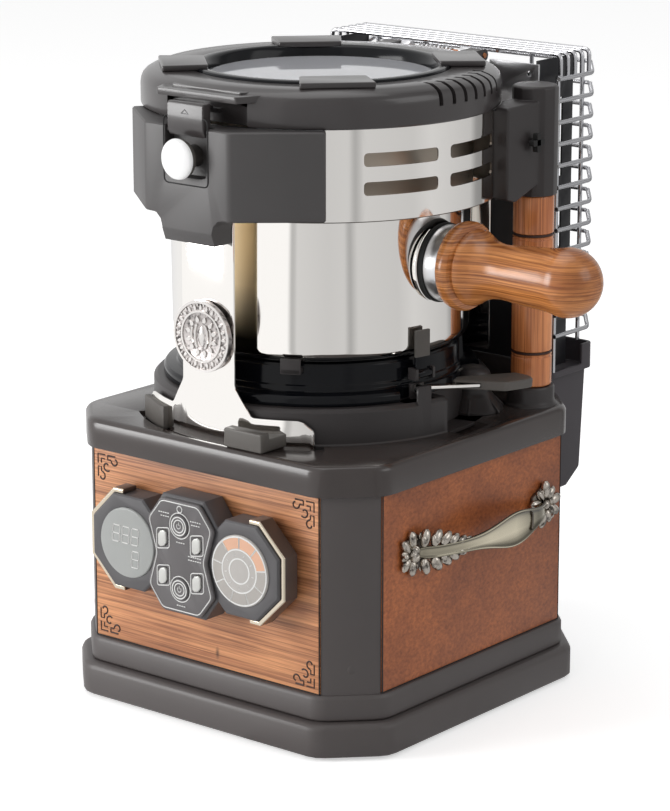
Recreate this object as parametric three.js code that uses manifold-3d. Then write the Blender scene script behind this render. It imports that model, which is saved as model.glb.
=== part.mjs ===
// Electric coffee roaster: a wood-panelled base with a control panel, and above it
// a steel roasting pot held between two wooden columns and a polished upper sleeve.
// Millimetres, +Z up. The control panel faces -Y, the pot handle points to +X, and
// the origin is the middle of the base on the table.

import * as THREE from 'three';
import { mergeVertices } from 'three/addons/utils/BufferGeometryUtils.js';
import Module from 'manifold-3d';

const wasm = await Module();
wasm.setup();

// Clearances
const gap = 0.3;                  // kept between neighbouring pieces
const runningGap = 1;             // kept round a piece that moves
const overshoot = 1;              // how far a cutter runs past the face it cuts

// Fineness of the round pieces, in sides
const skinSides = 30;             // sleeve, strip and what lies against them
const roundSides = 20;            // pot, seat ring, platform and lid
const smallSides = 12;            // columns, handle and other turned pieces

// Base body
const baseMargin = 26;            // of the base's side beyond the pot
const baseCorner = 30;            // leg of each cut-off corner
const cornerRound = 7;
const baseWall = 9;
const footHeight = 2;
const footRadius = 11;
const footInset = 32;
const middlePad = 16;             // radius of the pad in the middle of the bottom
const plinthHeight = 23;
const plinthProud = 9.5;
const railHeight = 17.5;
const railProud = 3;
const postWidth = 30;             // of each corner post beside a panel
const panelHeight = 135.5;
const panelThickness = 6;
const panelRecess = 0.5;          // how far a wooden panel lies behind the posts
const capHeight = 20.5;
const capProud = 3.5;
const capBevel = 4;
const deckThickness = 6;

// Carrying pulls
const pullLength = 144;           // between the middles of the two end plates
const pullHeight = 90;            // of the middle of a pull above the plinth rail
const pullReach = 20.5;
const pullPlateLength = 26;
const pullPlateHeight = 32;
const pullPlateThickness = 2.4;
const pullWaist = 5;              // half height of the grip at its thinnest
const pullSwell = 13;             // half height of the grip at its widest
const pullThickness = 5;
const pullShift = 3.5;              // of the pulls towards the back

// Control panel
const controlHeight = 81;         // of its middle above the plinth rail
const controlSpread = 50;         // from the middle to each round window
const controlApothem = 32.5;        // of the octagon round each window
const controlDepth = 20;
const shieldHalfHeight = 39;
const shieldTopHalf = 17;
const shieldShoulder = 29.5;
const shieldShoulderHeight = 23;
const shieldWaist = 22.5;
const shieldProud = 3;
const windowRadius = 24.5;
const windowThickness = 2;
const windowProud = 1;
const rimThickness = 3;
const rimDepth = 14;
const rimSetBack = 2;             // of the rim behind the front of the housing
const roundKeyRadius = 7.5;
const roundKeyHeight = 22;        // of each round key above or below the middle
const sideKeyWidth = 7;
const sideKeyHeight = 13;
const sideKeySpread = 15;
const sideKeyRise = 13;
const keyProud = 1.6;
const keyTravel = 1.2;
const keyWell = 2.5;
const cableHoleWidth = 60;
const cableHoleHeight = 26;

// Roasting tower: everything from the platform up turns about one upright axis
const towerX = -4;
const platformInset = 3;          // of the platform inside the front strip
const platformHeight = 24.5;
const platformBevel = 2.5;
const airWellInset = 4;           // of the air well inside the seat ring
const airWellDepth = 14;
const seatInset = 5;              // of the seat ring inside the pot
const seatWidth = 17;
const seatHeight = 26.5;
const seatCollarProud = 10;
const seatCollarHeight = 7;
const seatTabAzimuth = 28;
const seatTabWidth = 14;

// Pot
const potRadius = 104;
const potTaper = 1.5;
const potCorner = 9.5;            // rounding round the pot's floor
const potHeight = 153;
const potWall = 1.4;
const potRimProud = 4;
const handleHeight = 62;          // of the handle's axis above the pot's floor
const collarRadius = 26;
const collarLength = 14;
const collarPlateRadius = 28;
const handleRootRadius = 28;
const handleFlangeRadius = 30;
const handleFlangeLength = 11;
const handleNeckRadius = 18;
const handleBallRadius = 23.2;
const handleLength = 114;
const stirrerClear = 15;          // from the blades to the pot's corner
const stirrerHub = 11;
const stirrerLift = 3;
const shaftRadius = 4;

// Upper sleeve
const sleeveRoom = 11.6;          // between the pot's rim and the sleeve
const sleeveWall = 1.4;
const sleeveHeight = 61;
const sleeveLap = 54;             // of the sleeve over the pot's top
const sleeveLip = 4;
const ventHeight = 10.5;
const ventArc = 26;
const ventGapArc = 5.2;
const ventFirstAzimuth = 53;
const ventRowHeights = [24, 45];
const seamAzimuth = 101.5;
const seamWidth = 1.6;

// Front strip with its foot
const stripInset = 2;             // of the strip inside the sleeve's outer face
const stripThickness = 1.5;
const stripHalfWidth = 22.5;
const footHalfWidth = 72;
const footStripHeight = 14;
const footFlare = 12;
const footChamfer = 7;
const deckGrooveDepth = 3;
const deckGrooveWidth = 7;
const clipHeight = 13.5;
const badgeRadius = 25.2;
const badgeThickness = 3.6;
const badgeStandOff = 1.5;
const badgeHeight = 70;           // of its middle above the deck

// Latch housing
const housingProud = 17.4;        // of the housing's front beyond the sleeve
const housingHalfWidth = 36;
const housingWingLength = 63;
const housingWingAngle = 40;
const housingHeight = 59;
const tongueHalfWidth = 21.5;
const tongueDrop = 18;
const tongueChamfer = 8;
const notchRadius = 10;
const latchRecessHalf = 18;
const latchRecessHeight = 33;
const latchRecessDepth = 9;
const latchButtonRadius = 13.5;
const latchButtonProud = 11;
const latchButtonStem = 7;
const latchTravel = 4;
const catchHalfWidth = 15.5;
const catchHeight = 22;
const catchThickness = 8;
const catchMiss = 0.5;            // left between the hook and the keeper
const catchPin = 1.5;
const catchPivotDrop = 3.2;       // of its pivot below the top of the housing

// Lid
const lidOverhang = 1.3;          // of the lid beyond the sleeve
const lidHeight = 20;             // of the shoulder above the skirt's edge
const lidCrown = 4.5;
const lidWall = 3.2;
const lidShelf = 16;              // radial width of the shelf under the glass ring
const lidRim = 34.3;              // from the lid's edge to the glass ring
const lidVentCount = 7;
const lidVentAzimuth = 79;
const lidVentPitch = 5.6;
const lidVentWidth = 2.4;
const lipHalfWidth = 34.5;
const lipProud = 5.7;             // of the lip beyond the lid's edge
const lipThickness = 4.5;
const lipWallInset = 9;           // of the wall behind the lip
const keeperProud = 4;
const glassRingHeight = 5.2;
const keeperHeight = 10;          // of the keeper's top above the skirt's edge
const glassSeat = 6;              // of the glass on the shelf
const glassThickness = 4;
const clawCount = 4;
const clawWidth = 50;
const clawLength = 34;
const clawHeight = 2;

// Lid hinge
const hingeSetBack = 7.5;         // of the pin behind the sleeve
const hingeDrop = 5;              // of the pin below the lid's top
const hingePinRadius = 2;
const knuckleRadius = 4.5;
const knuckleInner = 22;          // from the tower axis to a fixed knuckle
const knuckleWidth = 8;
const earWidth = 12;
const earLap = 18.3;              // of a hinge ear inside the lid's edge
const railPlateThickness = 1.5;
const railPlateSpread = 2;        // of the hinge rail beyond the shroud
const railPlateHeight = 19;
const railHornStart = 52;
const railHornRise = 20;

// Columns
const columnInset = 20;           // of a column inside the side of the base
const columnSetIn = 40;           // of a column in front of the back of the base
const columnRadius = 15;
const columnDrop = 2.8;           // of a column's top below the sleeve
const columnGroove = 1.4;
const lowGroove = 23.5;           // above the column's foot
const highGroove = 27.5;          // below the column's top
const cupHeight = 14;
const cupRadius = 16.3;
const capPostRadius = 16;
const capPostHeight = 75;
const armThickness = 22;
const armReach = 46;
const armHeight = 66;
const armRound = 10;

// Release lever beside the pot
const leverAzimuth = 76;
const leverStandOff = 6;          // of the lever's pivot outside the pot
const leverPivotHeight = 31;      // above the deck
const leverBearing = 68.8;        // degrees from +X
const leverDroop = 5;
const leverArmWidth = 7;
const leverArmThickness = 2;
const leverArmLength = 46;
const leverEye = 4;
const leverPinRadius = 2;
const leverGripThickness = 6.5;
const leverEarThickness = 2.5;
const recessStart = 86;           // azimuths of the recess that the lever swings over
const recessEnd = 126;
const recessInset = 1.5;          // from the seat ring to the recess
const valveAzimuth = 119.5;
const valveStandOff = 1.6;        // of the valve cap's middle outside the pot
const valveRadius = 12.5;
const valveSkirt = 23;
const valveHeight = 30.5;
const valveRibs = 6;
const valveRib = 1.8;

// Pot clip, moved by the lever
const clipAzimuth = 78.5;
const potClipWidth = 12;
const potClipLength = 34;
const potClipThickness = 2.2;
const potClipEye = 3;
const potClipPin = 1.5;

// Rear shroud, guard and chaff box
const shroudInset = 12;           // of the shroud's sides inside the pot's
const shroudDepth = 59;
const shroudWall = 1.6;
const shroudStandOff = 3;         // of the shroud behind the pot
const shroudDrop = 3.6;           // of the shroud's top below the lid's
const shieldInset = 26;           // of the heat shield inside the shroud
const shieldThickness = 1;
const shieldLipHeight = 3;
const guardSpread = 11.5;         // of the guard outside the shroud
const guardStandOff = 13;         // of the guard's front behind the sleeve
const guardDepth = 46;
const guardWire = 1.6;            // radius of the wires
const guardLap = 1.9;             // between the middles of two crossing wires
const guardRungs = 12;
const guardPitch = 15.2;
const guardClear = 9.3;           // of the lowest rung above the tray
const guardBend = 7;
const guardTopWires = 5;
const guardRise = 16.5;             // of the top wires above the highest rung
const boxWall = 2.5;
const trayInset = 0.5;            // of the tray inside the guard
const trayDepth = 52.5;
const trayHeight = 21.5;
const trayRise = 22.5;            // of the tray above the deck
const trayStandOff = 0.5;         // of the tray's front behind the posts
const boxSpread = 2;              // of the lower box beyond the shroud
const boxDepth = 42;
const boxDrop = 112;
const boxSlant = 14;

// Pieces inside the base
const motorRadius = 34;
const motorHeight = 62;
const impellerRadius = 62;
const impellerHeight = 24;
const bladeCount = 8;
const bladeThickness = 1.6;
const heaterInset = 8;            // of the heating ring from the air well's wall
const heaterTube = 3.2;
const inletWidth = 28;
const inletHeight = 20;
const inletDepth = 16;

// Radii and places that follow from the sizes above
const halfBase = potRadius + baseMargin;
const panelWidth = 2 * (halfBase - postWidth);
const potRimRadius = potRadius + potRimProud;
const potBaseRadius = potRadius - potTaper - potCorner;
const stirrerReach = potBaseRadius - stirrerClear;
const seatOuter = potRadius - seatInset;
const seatInner = seatOuter - seatWidth;
const seatCollarRadius = seatOuter + seatCollarProud;
const airWellRadius = seatInner - airWellInset;
const sleeveRadius = potRimRadius + sleeveRoom + sleeveWall;
const stripRadius = sleeveRadius - stripInset;
const platformRadius = stripRadius - platformInset;
const housingReach = sleeveRadius + housingProud;
const lidRadius = sleeveRadius + lidOverhang;
const lidRecess = lidRadius - lidRim;
const lidHole = lidRecess - lidShelf;
const glassRadius = lidHole + glassSeat;
const lipReach = lidRadius + lipProud;
const keeperFront = -lidRadius + lipWallInset - keeperProud;
const hingeY = sleeveRadius + hingeSetBack;
const earRoot = lidRadius - earLap;
const columnSpread = halfBase - columnInset;
const columnY = halfBase - columnSetIn;
const leverRadius = potRadius + leverStandOff;
const recessRadius = seatOuter + recessInset;
const valveOffset = potRadius + valveStandOff;
const shroudY = potRadius + shroudStandOff;
const guardY = sleeveRadius + guardStandOff;
const trayFront = halfBase + trayStandOff;
const shroudHalf = potRadius - shroudInset;
const shieldHalf = shroudHalf - shieldInset;
const railPlateHalf = shroudHalf + railPlateSpread;
const boxHalf = shroudHalf + boxSpread;
const guardHalf = shroudHalf + guardSpread;
const trayHalf = guardHalf - trayInset;

// Heights that follow from the sizes above
const plinthTop = footHeight + plinthHeight;
const railTop = plinthTop + gap + railHeight;
const panelTop = railTop + panelHeight;
const deckTop = panelTop + gap + capHeight;
const platformTop = deckTop + platformHeight;
const potFloor = platformTop + gap + seatHeight + gap;
const sleeveBottom = potFloor + potHeight - sleeveLap;
const sleeveTop = sleeveBottom + sleeveHeight;
const lidBottom = sleeveTop + gap;
const lidShoulder = lidBottom + lidHeight;
const lidTop = lidShoulder + lidCrown;
const keeperTop = lidBottom + keeperHeight;
const hingeZ = lidTop - hingeDrop;
const controlZ = railTop + controlHeight;
const controlY = -halfBase - controlDepth;
const columnFoot = deckTop + cupHeight + gap;
const columnTop = sleeveBottom - columnDrop;
const capPostBottom = columnTop + gap;
const trayBottom = deckTop + trayRise;
const trayTop = trayBottom + trayHeight;

// Colours and finishes
const finish = (color, roughness, metalness = 0) =>
  new THREE.MeshStandardMaterial({ color, roughness, metalness });
const darkPlastic = finish(0x59524f, 0.55);
const blackPlastic = finish(0x2c2a2a, 0.5);
const greyPlastic = finish(0x494443, 0.45);
const frontWood = finish(0xb97f55, 0.5);
const sideWood = finish(0x94583a, 0.5);
const turnedWood = finish(0xa9662f, 0.35);
const polishedSteel = finish(0xd9d9da, 0.08, 1);
const brushedSteel = finish(0xb8b8ba, 0.3, 1);
const pewter = finish(0x8d867d, 0.3, 1);
const champagne = finish(0xc9b9a2, 0.25, 1);
const whiteKey = finish(0xd4d6d6, 0.35, 0.2);
const displayGlass = finish(0x59605b, 0.15);
const clearGlass = finish(0xdfe3e2, 0.05);
const blackSheet = finish(0x1f1f20, 0.45, 0.4);
const copper = finish(0xb87348, 0.35, 1);
const boardGreen = finish(0x2d5b3f, 0.6);

// Closed meshes and booleans

// Merges the corners of a mesh, drops flat triangles and turns its faces outwards.
function tidy(geometry) {
  const bare = new THREE.BufferGeometry();
  bare.setAttribute('position', geometry.getAttribute('position').clone());
  if (geometry.index) bare.setIndex(geometry.index.clone());
  const merged = geometry.userData.welded ? bare : mergeVertices(bare, 1e-4);
  const place = merged.getAttribute('position');
  const source = merged.index.array;
  const faces = [];
  let volume = 0;
  const [a, b, c] = [new THREE.Vector3(), new THREE.Vector3(), new THREE.Vector3()];
  for (let i = 0; i < source.length; i += 3) {
    const [p, q, r] = [source[i], source[i + 1], source[i + 2]];
    if (p === q || q === r || r === p) continue;
    faces.push(p, q, r);
    a.fromBufferAttribute(place, p);
    b.fromBufferAttribute(place, q);
    c.fromBufferAttribute(place, r);
    volume += a.dot(b.cross(c));
  }
  if (volume < 0) faces.reverse();
  merged.setIndex(new THREE.BufferAttribute(new Uint32Array(faces), 1));
  return merged;
}

function solid(geometry) {
  const clean = tidy(geometry);
  return new wasm.Manifold(new wasm.Mesh({
    numProp: 3,
    vertProperties: clean.getAttribute('position').array,
    triVerts: clean.index.array,
  }));
}

function meshOf(manifold) {
  const { vertProperties, triVerts } = manifold.getMesh();
  const geometry = new THREE.BufferGeometry();
  geometry.setAttribute('position', new THREE.BufferAttribute(vertProperties, 3));
  geometry.setIndex(new THREE.BufferAttribute(triVerts, 1));
  geometry.userData.welded = true;
  return geometry;
}

function join(...geometries) {
  return meshOf(geometries.map(solid).reduce((whole, part) => whole.add(part)));
}

function cut(geometry, ...cutters) {
  return meshOf(cutters.map(solid).reduce((rest, cutter) => rest.subtract(cutter), solid(geometry)));
}

function common(first, second) {
  return meshOf(solid(first).intersect(solid(second)));
}

// Shapes and their extrusions

const radians = THREE.MathUtils.degToRad;

// A point of the tower at an azimuth from the front, counted towards +X.
const polar = (radius, azimuth, z = 0) => new THREE.Vector3(
  radius * Math.sin(radians(azimuth)), -radius * Math.cos(radians(azimuth)), z);

// A closed outline through corner points, each rounded as far as given.
function outline(corners, round = 0) {
  const points = corners.map(([x, y]) => new THREE.Vector2(x, y));
  const shape = new THREE.Shape();
  points.forEach((corner, i) => {
    const before = points.at(i - 1);
    const after = points[(i + 1) % points.length];
    const entry = corner.clone().add(before.clone().sub(corner).setLength(round));
    const exit = corner.clone().add(after.clone().sub(corner).setLength(round));
    if (i === 0) shape.moveTo(entry.x, entry.y);
    else shape.lineTo(entry.x, entry.y);
    if (round > 0) shape.quadraticCurveTo(corner.x, corner.y, exit.x, exit.y);
  });
  shape.closePath();
  return shape;
}

const rectangle = (x0, x1, y0, y1, round = 0) =>
  outline([[x0, y0], [x1, y0], [x1, y1], [x0, y1]], round);

function disc(radius, x = 0, y = 0) {
  const shape = new THREE.Shape();
  shape.absarc(x, y, radius, 0, 2 * Math.PI, false);
  return shape;
}

const mirrored = (corners) => [
  ...corners,
  ...corners.map(([x, y]) => [-x, y]).reverse(),
];

// Extrudes a shape upwards, with its edges bevelled inside its outline.
function slab(shape, bottom, top, bevel = 0, curveSegments = 2) {
  const geometry = new THREE.ExtrudeGeometry(shape, {
    depth: top - bottom - 2 * bevel,
    bevelEnabled: bevel > 0,
    bevelThickness: bevel,
    bevelSize: bevel,
    bevelOffset: -bevel,
    bevelSegments: 1,
    curveSegments,
  });
  return geometry.translate(0, 0, bottom + bevel);
}

// Extrudes a shape drawn as seen from the front, from yFront back to yBack.
function frontSlab(shape, yFront, yBack, bevel = 0, curveSegments = 2) {
  return slab(shape, -yBack, -yFront, bevel, curveSegments).rotateX(Math.PI / 2);
}

// Extrudes a shape drawn in Y and Z, from xLow to xHigh.
const sideAxes = new THREE.Matrix4().makeBasis(
  new THREE.Vector3(0, 1, 0), new THREE.Vector3(0, 0, 1), new THREE.Vector3(1, 0, 0));
function sideSlab(shape, xLow, xHigh, bevel = 0, curveSegments = 2) {
  return slab(shape, xLow, xHigh, bevel, curveSegments).applyMatrix4(sideAxes);
}

function box(x0, x1, y0, y1, z0, z1) {
  return slab(rectangle(x0, x1, y0, y1), z0, z1);
}

// Sides of the large round pieces: the sleeve and what fits it, and all the others.

// Turns a profile of [radius, height] points about +Z.
function turned(profile, segments = smallSides) {
  const points = profile.map(([r, z]) => new THREE.Vector2(r, z));
  return new THREE.LatheGeometry(points, segments).rotateX(Math.PI / 2);
}

// A ring between two radii and two heights.
function ring(inner, outer, bottom, top, segments = smallSides) {
  return turned([[inner, bottom], [outer, bottom], [outer, top], [inner, top], [inner, bottom]],
    segments);
}

function drum(radius, bottom, top, segments = smallSides) {
  return turned([[0, bottom], [radius, bottom], [radius, top], [0, top]], segments);
}

// Turns a profile about +X, its heights becoming x.
const turnedX = (profile, segments) => turned(profile, segments).rotateY(Math.PI / 2);

// Turns geometry to an azimuth from the front, where its own front is -Y.
const facing = (geometry, azimuth) => geometry.rotateZ(radians(azimuth));

// Joins rings of points, all with the same count, into one closed skin.
function loft(rings) {
  const count = rings[0].length;
  const points = rings.flat();
  const faces = [];
  for (let i = 0; i + 1 < rings.length; i += 1) {
    for (let j = 0; j < count; j += 1) {
      const next = (j + 1) % count;
      const [a, b] = [i * count + j, i * count + next];
      faces.push(a, b, b + count, a, b + count, a + count);
    }
  }
  const last = (rings.length - 1) * count;
  for (let j = 1; j + 1 < count; j += 1) {
    faces.push(0, j + 1, j, last, last + j, last + j + 1);
  }
  const geometry = new THREE.BufferGeometry().setFromPoints(points);
  geometry.setIndex(faces);
  return geometry;
}

// Outline of the base, set out from its walls by the given amount.
function baseOutline(proud) {
  const half = halfBase + proud;
  const leg = baseCorner + proud * (2 - Math.SQRT2);
  const near = half - leg;
  return outline([
    [near, -half], [half, -near], [half, near], [near, half],
    [-near, half], [-half, near], [-half, -near], [-near, -half],
  ], cornerRound);
}

// A moulding round the base: [proud, height] pairs from the bottom up.
function moulding(profile) {
  return loft(profile.map(([proud, z]) =>
    baseOutline(proud).getPoints(2).slice(0, -1).map(({ x, y }) => new THREE.Vector3(x, y, z))));
}

// Base body

const roaster = new THREE.Group();
roaster.name = 'coffee_roaster';

function piece(name, geometry, material, parent = roaster) {
  const clean = tidy(geometry);
  clean.computeVertexNormals();
  const mesh = new THREE.Mesh(clean, material);
  mesh.name = name;
  parent.add(mesh);
  return mesh;
}

const plinthInner = plinthProud - 12;

function bottomPlate() {
  const plate = slab(baseOutline(plinthInner - gap), footHeight, footHeight + 3, 0, 1);
  const reach = halfBase - footInset;
  const feet = [[1, 1], [-1, 1], [-1, -1], [1, -1]].map(([x, y]) =>
    drum(footRadius, 0, footHeight + 2, 12).translate(x * reach, y * reach, 0));
  const inlets = Array.from({ length: 4 }, (_, i) =>
    facing(box(-4, 4, -impellerRadius, -impellerRadius / 2, 0, footHeight + 4), i * 90)
      .translate(towerX, 0, 0));
  const pad = drum(middlePad, 0, footHeight + 2, 12);
  return cut(join(plate, pad, ...feet), ...inlets);
}

function plinth() {
  const top = plinthTop;
  const body = moulding([
    [plinthProud - 1.2, footHeight], [plinthProud, footHeight + 1.5], [plinthProud, top - 5],
    [plinthProud - 0.8, top - 2.4], [plinthProud - 2.6, top - 0.6], [plinthProud - 4, top],
  ]);
  const bottom = footHeight - overshoot;
  return cut(body, slab(baseOutline(plinthInner), bottom, top + overshoot, 0, 1));
}

function baseFrame() {
  const bottom = plinthTop + gap;
  const rail = moulding([
    [railProud - 0.8, bottom], [railProud, bottom + 1], [railProud, railTop - 3],
    [railProud - 0.8, railTop - 1.2], [railProud - 2, railTop],
  ]);
  const posts = slab(baseOutline(0), railTop - 1, panelTop);
  const hollow = slab(baseOutline(-baseWall), bottom - overshoot, panelTop + overshoot, 0, 1);
  const reach = halfBase + overshoot;
  const windowHalf = panelWidth / 2;
  return cut(join(rail, posts), hollow,
    box(-windowHalf, windowHalf, -reach, reach, railTop, panelTop + overshoot),
    box(-reach, reach, -windowHalf, windowHalf, railTop, panelTop + overshoot));
}

// A panel as seen from its own outer side, standing on the rail.
const panelFace = -halfBase + panelRecess;
function panel(...cutters) {
  const half = panelWidth / 2 - gap;
  const board = frontSlab(rectangle(-half, half, railTop + gap, panelTop - gap),
    panelFace, panelFace + panelThickness, 0.6);
  return cutters.length ? cut(board, ...cutters) : board;
}

function frontPanel() {
  const half = cableHoleWidth / 2;
  const low = controlZ - cableHoleHeight / 2;
  return panel(frontSlab(rectangle(-half, half, low, low + cableHoleHeight, 4),
    -halfBase - overshoot, -halfBase + baseWall));
}

const inletX = 40 - panelWidth / 2;
const inletZ = railTop + 22;
const throughPanel = [-halfBase - overshoot, -halfBase + baseWall];

function rearPanel() {
  const slots = Array.from({ length: 7 }, (_, i) =>
    frontSlab(rectangle(-70 + i * 14, -65 + i * 14, railTop + 12, railTop + 34),
      ...throughPanel));
  const inletHole = frontSlab(rectangle(-inletX - inletWidth / 2, -inletX + inletWidth / 2,
    inletZ - inletHeight / 2, inletZ + inletHeight / 2), ...throughPanel);
  return panel(...slots, inletHole).rotateZ(Math.PI);
}

function powerInlet() {
  const wide = inletWidth / 2;
  const tall = inletHeight / 2;
  const outer = halfBase - panelRecess;
  const flange = frontSlab(rectangle(-wide - 3, wide + 3, -tall - 3, tall + 3, 2),
    -outer - gap - 1.5, -outer - gap);
  const shell = frontSlab(rectangle(gap - wide, wide - gap, gap - tall, tall - gap),
    -outer - gap - 1, -outer + inletDepth);
  const socket = frontSlab(rectangle(3 - wide, wide - 3, 3 - tall, tall - 3),
    -outer - 4, -outer + inletDepth - 3);
  const pins = [-6, 0, 6].map((x) => frontSlab(
    rectangle(x - 1, x + 1, -2.5, 2.5), -outer + 1, -outer + inletDepth - 2));
  return join(cut(join(flange, shell), socket), ...pins)
    .translate(-inletX, 0, inletZ).rotateZ(Math.PI);
}

// Pull: two leaf-shaped plates and a bowed, dished grip, drawn for the +X side

function leafPlate(side) {
  const length = pullPlateLength;
  const half = pullPlateHeight / 2;
  const leaf = new THREE.Shape();
  const lobes = 5;
  leaf.moveTo(-length * 0.45, -half * 0.45);
  for (let i = 0; i < lobes; i += 1) {
    const from = -Math.PI / 2 + (i * Math.PI) / lobes;
    const to = from + Math.PI / lobes;
    const middle = (from + to) / 2;
    leaf.lineTo(length * 0.36 * Math.cos(from), half * 0.8 * Math.sin(from));
    leaf.quadraticCurveTo(length * 0.68 * Math.cos(middle), half * 1.22 * Math.sin(middle),
      length * 0.36 * Math.cos(to), half * 0.8 * Math.sin(to));
  }
  leaf.lineTo(-length * 0.45, half * 0.45);
  const plate = sideSlab(leaf, 0, pullPlateThickness, 0, 2);
  return side > 0 ? plate : plate.rotateX(Math.PI);
}

function pullGrip() {
  const stations = 10;
  const sides = 8;
  const rings = [];
  for (let i = 0; i <= stations; i += 1) {
    const t = i / stations;
    const along = (t - 0.5) * pullLength;
    const bow = Math.sin(Math.PI * t) ** 0.55;
    const swell = Math.exp(-(((t - 0.6) / 0.2) ** 2));
    const half = pullWaist + (pullSwell - pullWaist) * swell;
    const thick = pullThickness * (0.75 + 0.25 * bow) / 2;
    const heel = t < 0.06 || t > 0.94 ? 1.25 : 1;
    const dish = 3 * swell;
    rings.push(Array.from({ length: sides }, (_, j) => {
      const angle = (2 * Math.PI * j) / sides;
      const [across, out] = [Math.cos(angle) * half * heel, Math.sin(angle) * thick];
      const hollow = dish * ((across / half) ** 2 - 0.5);
      return new THREE.Vector3(1 + thick + bow * pullReach + out + hollow, along, across);
    }));
  }
  return loft(rings);
}

function pull() {
  const end = pullLength / 2;
  return join(pullGrip(), leafPlate(1).translate(0, end, 0), leafPlate(-1).translate(0, -end, 0));
}

// Control panel, drawn as seen from the front with its middle at the origin

const octagon = (apothem, x = 0, round = 0) => {
  const near = apothem * Math.tan(Math.PI / 8);
  return outline([
    [x + near, -apothem], [x + apothem, -near], [x + apothem, near], [x + near, apothem],
    [x - near, apothem], [x - apothem, near], [x - apothem, -near], [x - near, -apothem],
  ], round);
};

const shieldCorners = (grow) => mirrored([
  [shieldTopHalf + grow * 0.6, -shieldHalfHeight - grow],
  [shieldShoulder + grow, -shieldShoulderHeight],
  [shieldWaist + grow, 0],
  [shieldShoulder + grow, shieldShoulderHeight],
  [shieldTopHalf + grow * 0.6, shieldHalfHeight + grow],
]);

const roundKeys = { key_power: [0, roundKeyHeight], key_cool: [0, -roundKeyHeight] };
const sideKeys = {
  key_upper_left: [-sideKeySpread, sideKeyRise - 2],
  key_lower_left: [-sideKeySpread, -sideKeyRise - 2],
  key_upper_right: [sideKeySpread, sideKeyRise - 2],
  key_lower_right: [sideKeySpread, -sideKeyRise - 2],
};

const sideKeyShape = (grow) => {
  const wide = sideKeyWidth / 2 + grow;
  const tall = sideKeyHeight / 2 + grow;
  return outline([[-wide, -tall], [wide, -tall + 2], [wide, tall], [-wide, tall - 2]], 2);
};

const keyShape = (name, grow) =>
  (name in roundKeys ? disc(roundKeyRadius + grow) : sideKeyShape(grow));
const keySides = (name) => (name in roundKeys ? 7 : 1);

const keyPlaces = { ...roundKeys, ...sideKeys };
const controlBack = panelFace - gap;

function controlHousing() {
  const ends = [-controlSpread, controlSpread].map((x) =>
    frontSlab(octagon(controlApothem, x), controlY, controlBack, 1.2));
  const middle = frontSlab(outline(shieldCorners(2)), controlY, controlBack, 1.2);
  const bridge = frontSlab(rectangle(-controlSpread, controlSpread, -24, 24), controlY, controlBack);
  const wells = [-controlSpread, controlSpread].map((x) => frontSlab(
    disc(windowRadius + gap, x), controlY - overshoot, controlY + windowThickness - windowProud,
    0, 10));
  const inside = frontSlab(rectangle(-40, 40, -18, 18), controlBack - 8, controlBack + overshoot);
  return cut(join(...ends, middle, bridge), ...wells, inside);
}

function controlPlate() {
  const face = controlY - gap - shieldProud;
  const plate = frontSlab(outline(shieldCorners(0), 2), face, controlY - gap, 0.8);
  const wells = Object.entries(keyPlaces).map(([name, [x, z]]) =>
    frontSlab(keyShape(name, gap), face - overshoot, face + keyWell, 0, keySides(name))
      .translate(x, 0, z));
  return cut(plate, ...wells);
}

function keyCap(name) {
  const face = controlY - gap - shieldProud;
  return frontSlab(keyShape(name, 0), face - keyProud, face + keyWell - keyTravel - gap, 0.4,
    keySides(name));
}

// A C-shaped metal rim round one end of the housing, for the +X end.
function sideRim() {
  const inner = controlApothem + gap;
  const outer = inner + rimThickness;
  const yFront = controlY + rimSetBack;
  const band = cut(frontSlab(octagon(outer, controlSpread), yFront, yFront + rimDepth, 0.7),
    frontSlab(octagon(inner, controlSpread), yFront - overshoot, yFront + rimDepth + overshoot));
  const keep = frontSlab(rectangle(controlSpread + 6, controlSpread + outer + 1, -outer, outer),
    yFront - overshoot, yFront + rimDepth + overshoot);
  return common(band, keep);
}

function roundWindow() {
  const back = controlY + windowThickness - windowProud - gap;
  return frontSlab(disc(windowRadius), back - windowThickness, back, 0.5, 8);
}

function controlBoard() {
  return frontSlab(rectangle(-36, 36, -14, 14), controlBack - 8 + gap, controlBack - 6);
}

// Deck

const grooveOuter = stripRadius + stripThickness + gap + deckGrooveWidth;
const grooveInner = platformRadius + gap;

function deckHollow() {
  return slab(baseOutline(capProud - 8), panelTop - overshoot, deckTop - deckThickness, 0, 1);
}

// A wedge of the tower between two azimuths, wide enough to cut past its radius.
function wedge(from, to, bottom, top, radius = 200) {
  const steps = 6;
  const rim = Array.from({ length: steps + 1 }, (_, i) => {
    const { x, y } = polar(radius, from + ((to - from) * i) / steps);
    return [x, y];
  });
  return slab(outline([[0, 0], ...rim]), bottom, top);
}

const valvePlace = polar(valveOffset, valveAzimuth);

// Room for the valve cap: wide round its skirt, narrow round its dome.
function valveRoom() {
  const round = (radius, bottom, top) => drum(radius, bottom, top)
    .translate(valvePlace.x, valvePlace.y, 0);
  return join(round(valveSkirt + runningGap, deckTop, deckTop + 14),
    round(valveRadius + 2 * runningGap, deckTop, potFloor + 20));
}

const leverPlace = polar(leverRadius, leverAzimuth, deckTop + leverPivotHeight);

function leverEars() {
  const height = leverPivotHeight;
  const half = leverArmWidth / 2 + gap;
  const ears = [half, -half - leverEarThickness].map((y) =>
    box(-5, 5, y, y + leverEarThickness, -height, leverEye));
  const pin = drum(leverPinRadius, -half - leverEarThickness, half + leverEarThickness, 10)
    .rotateX(Math.PI / 2);
  return [...ears, pin].map((part) => part.rotateZ(radians(leverBearing))
    .translate(leverPlace.x + towerX, leverPlace.y, leverPlace.z));
}

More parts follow.
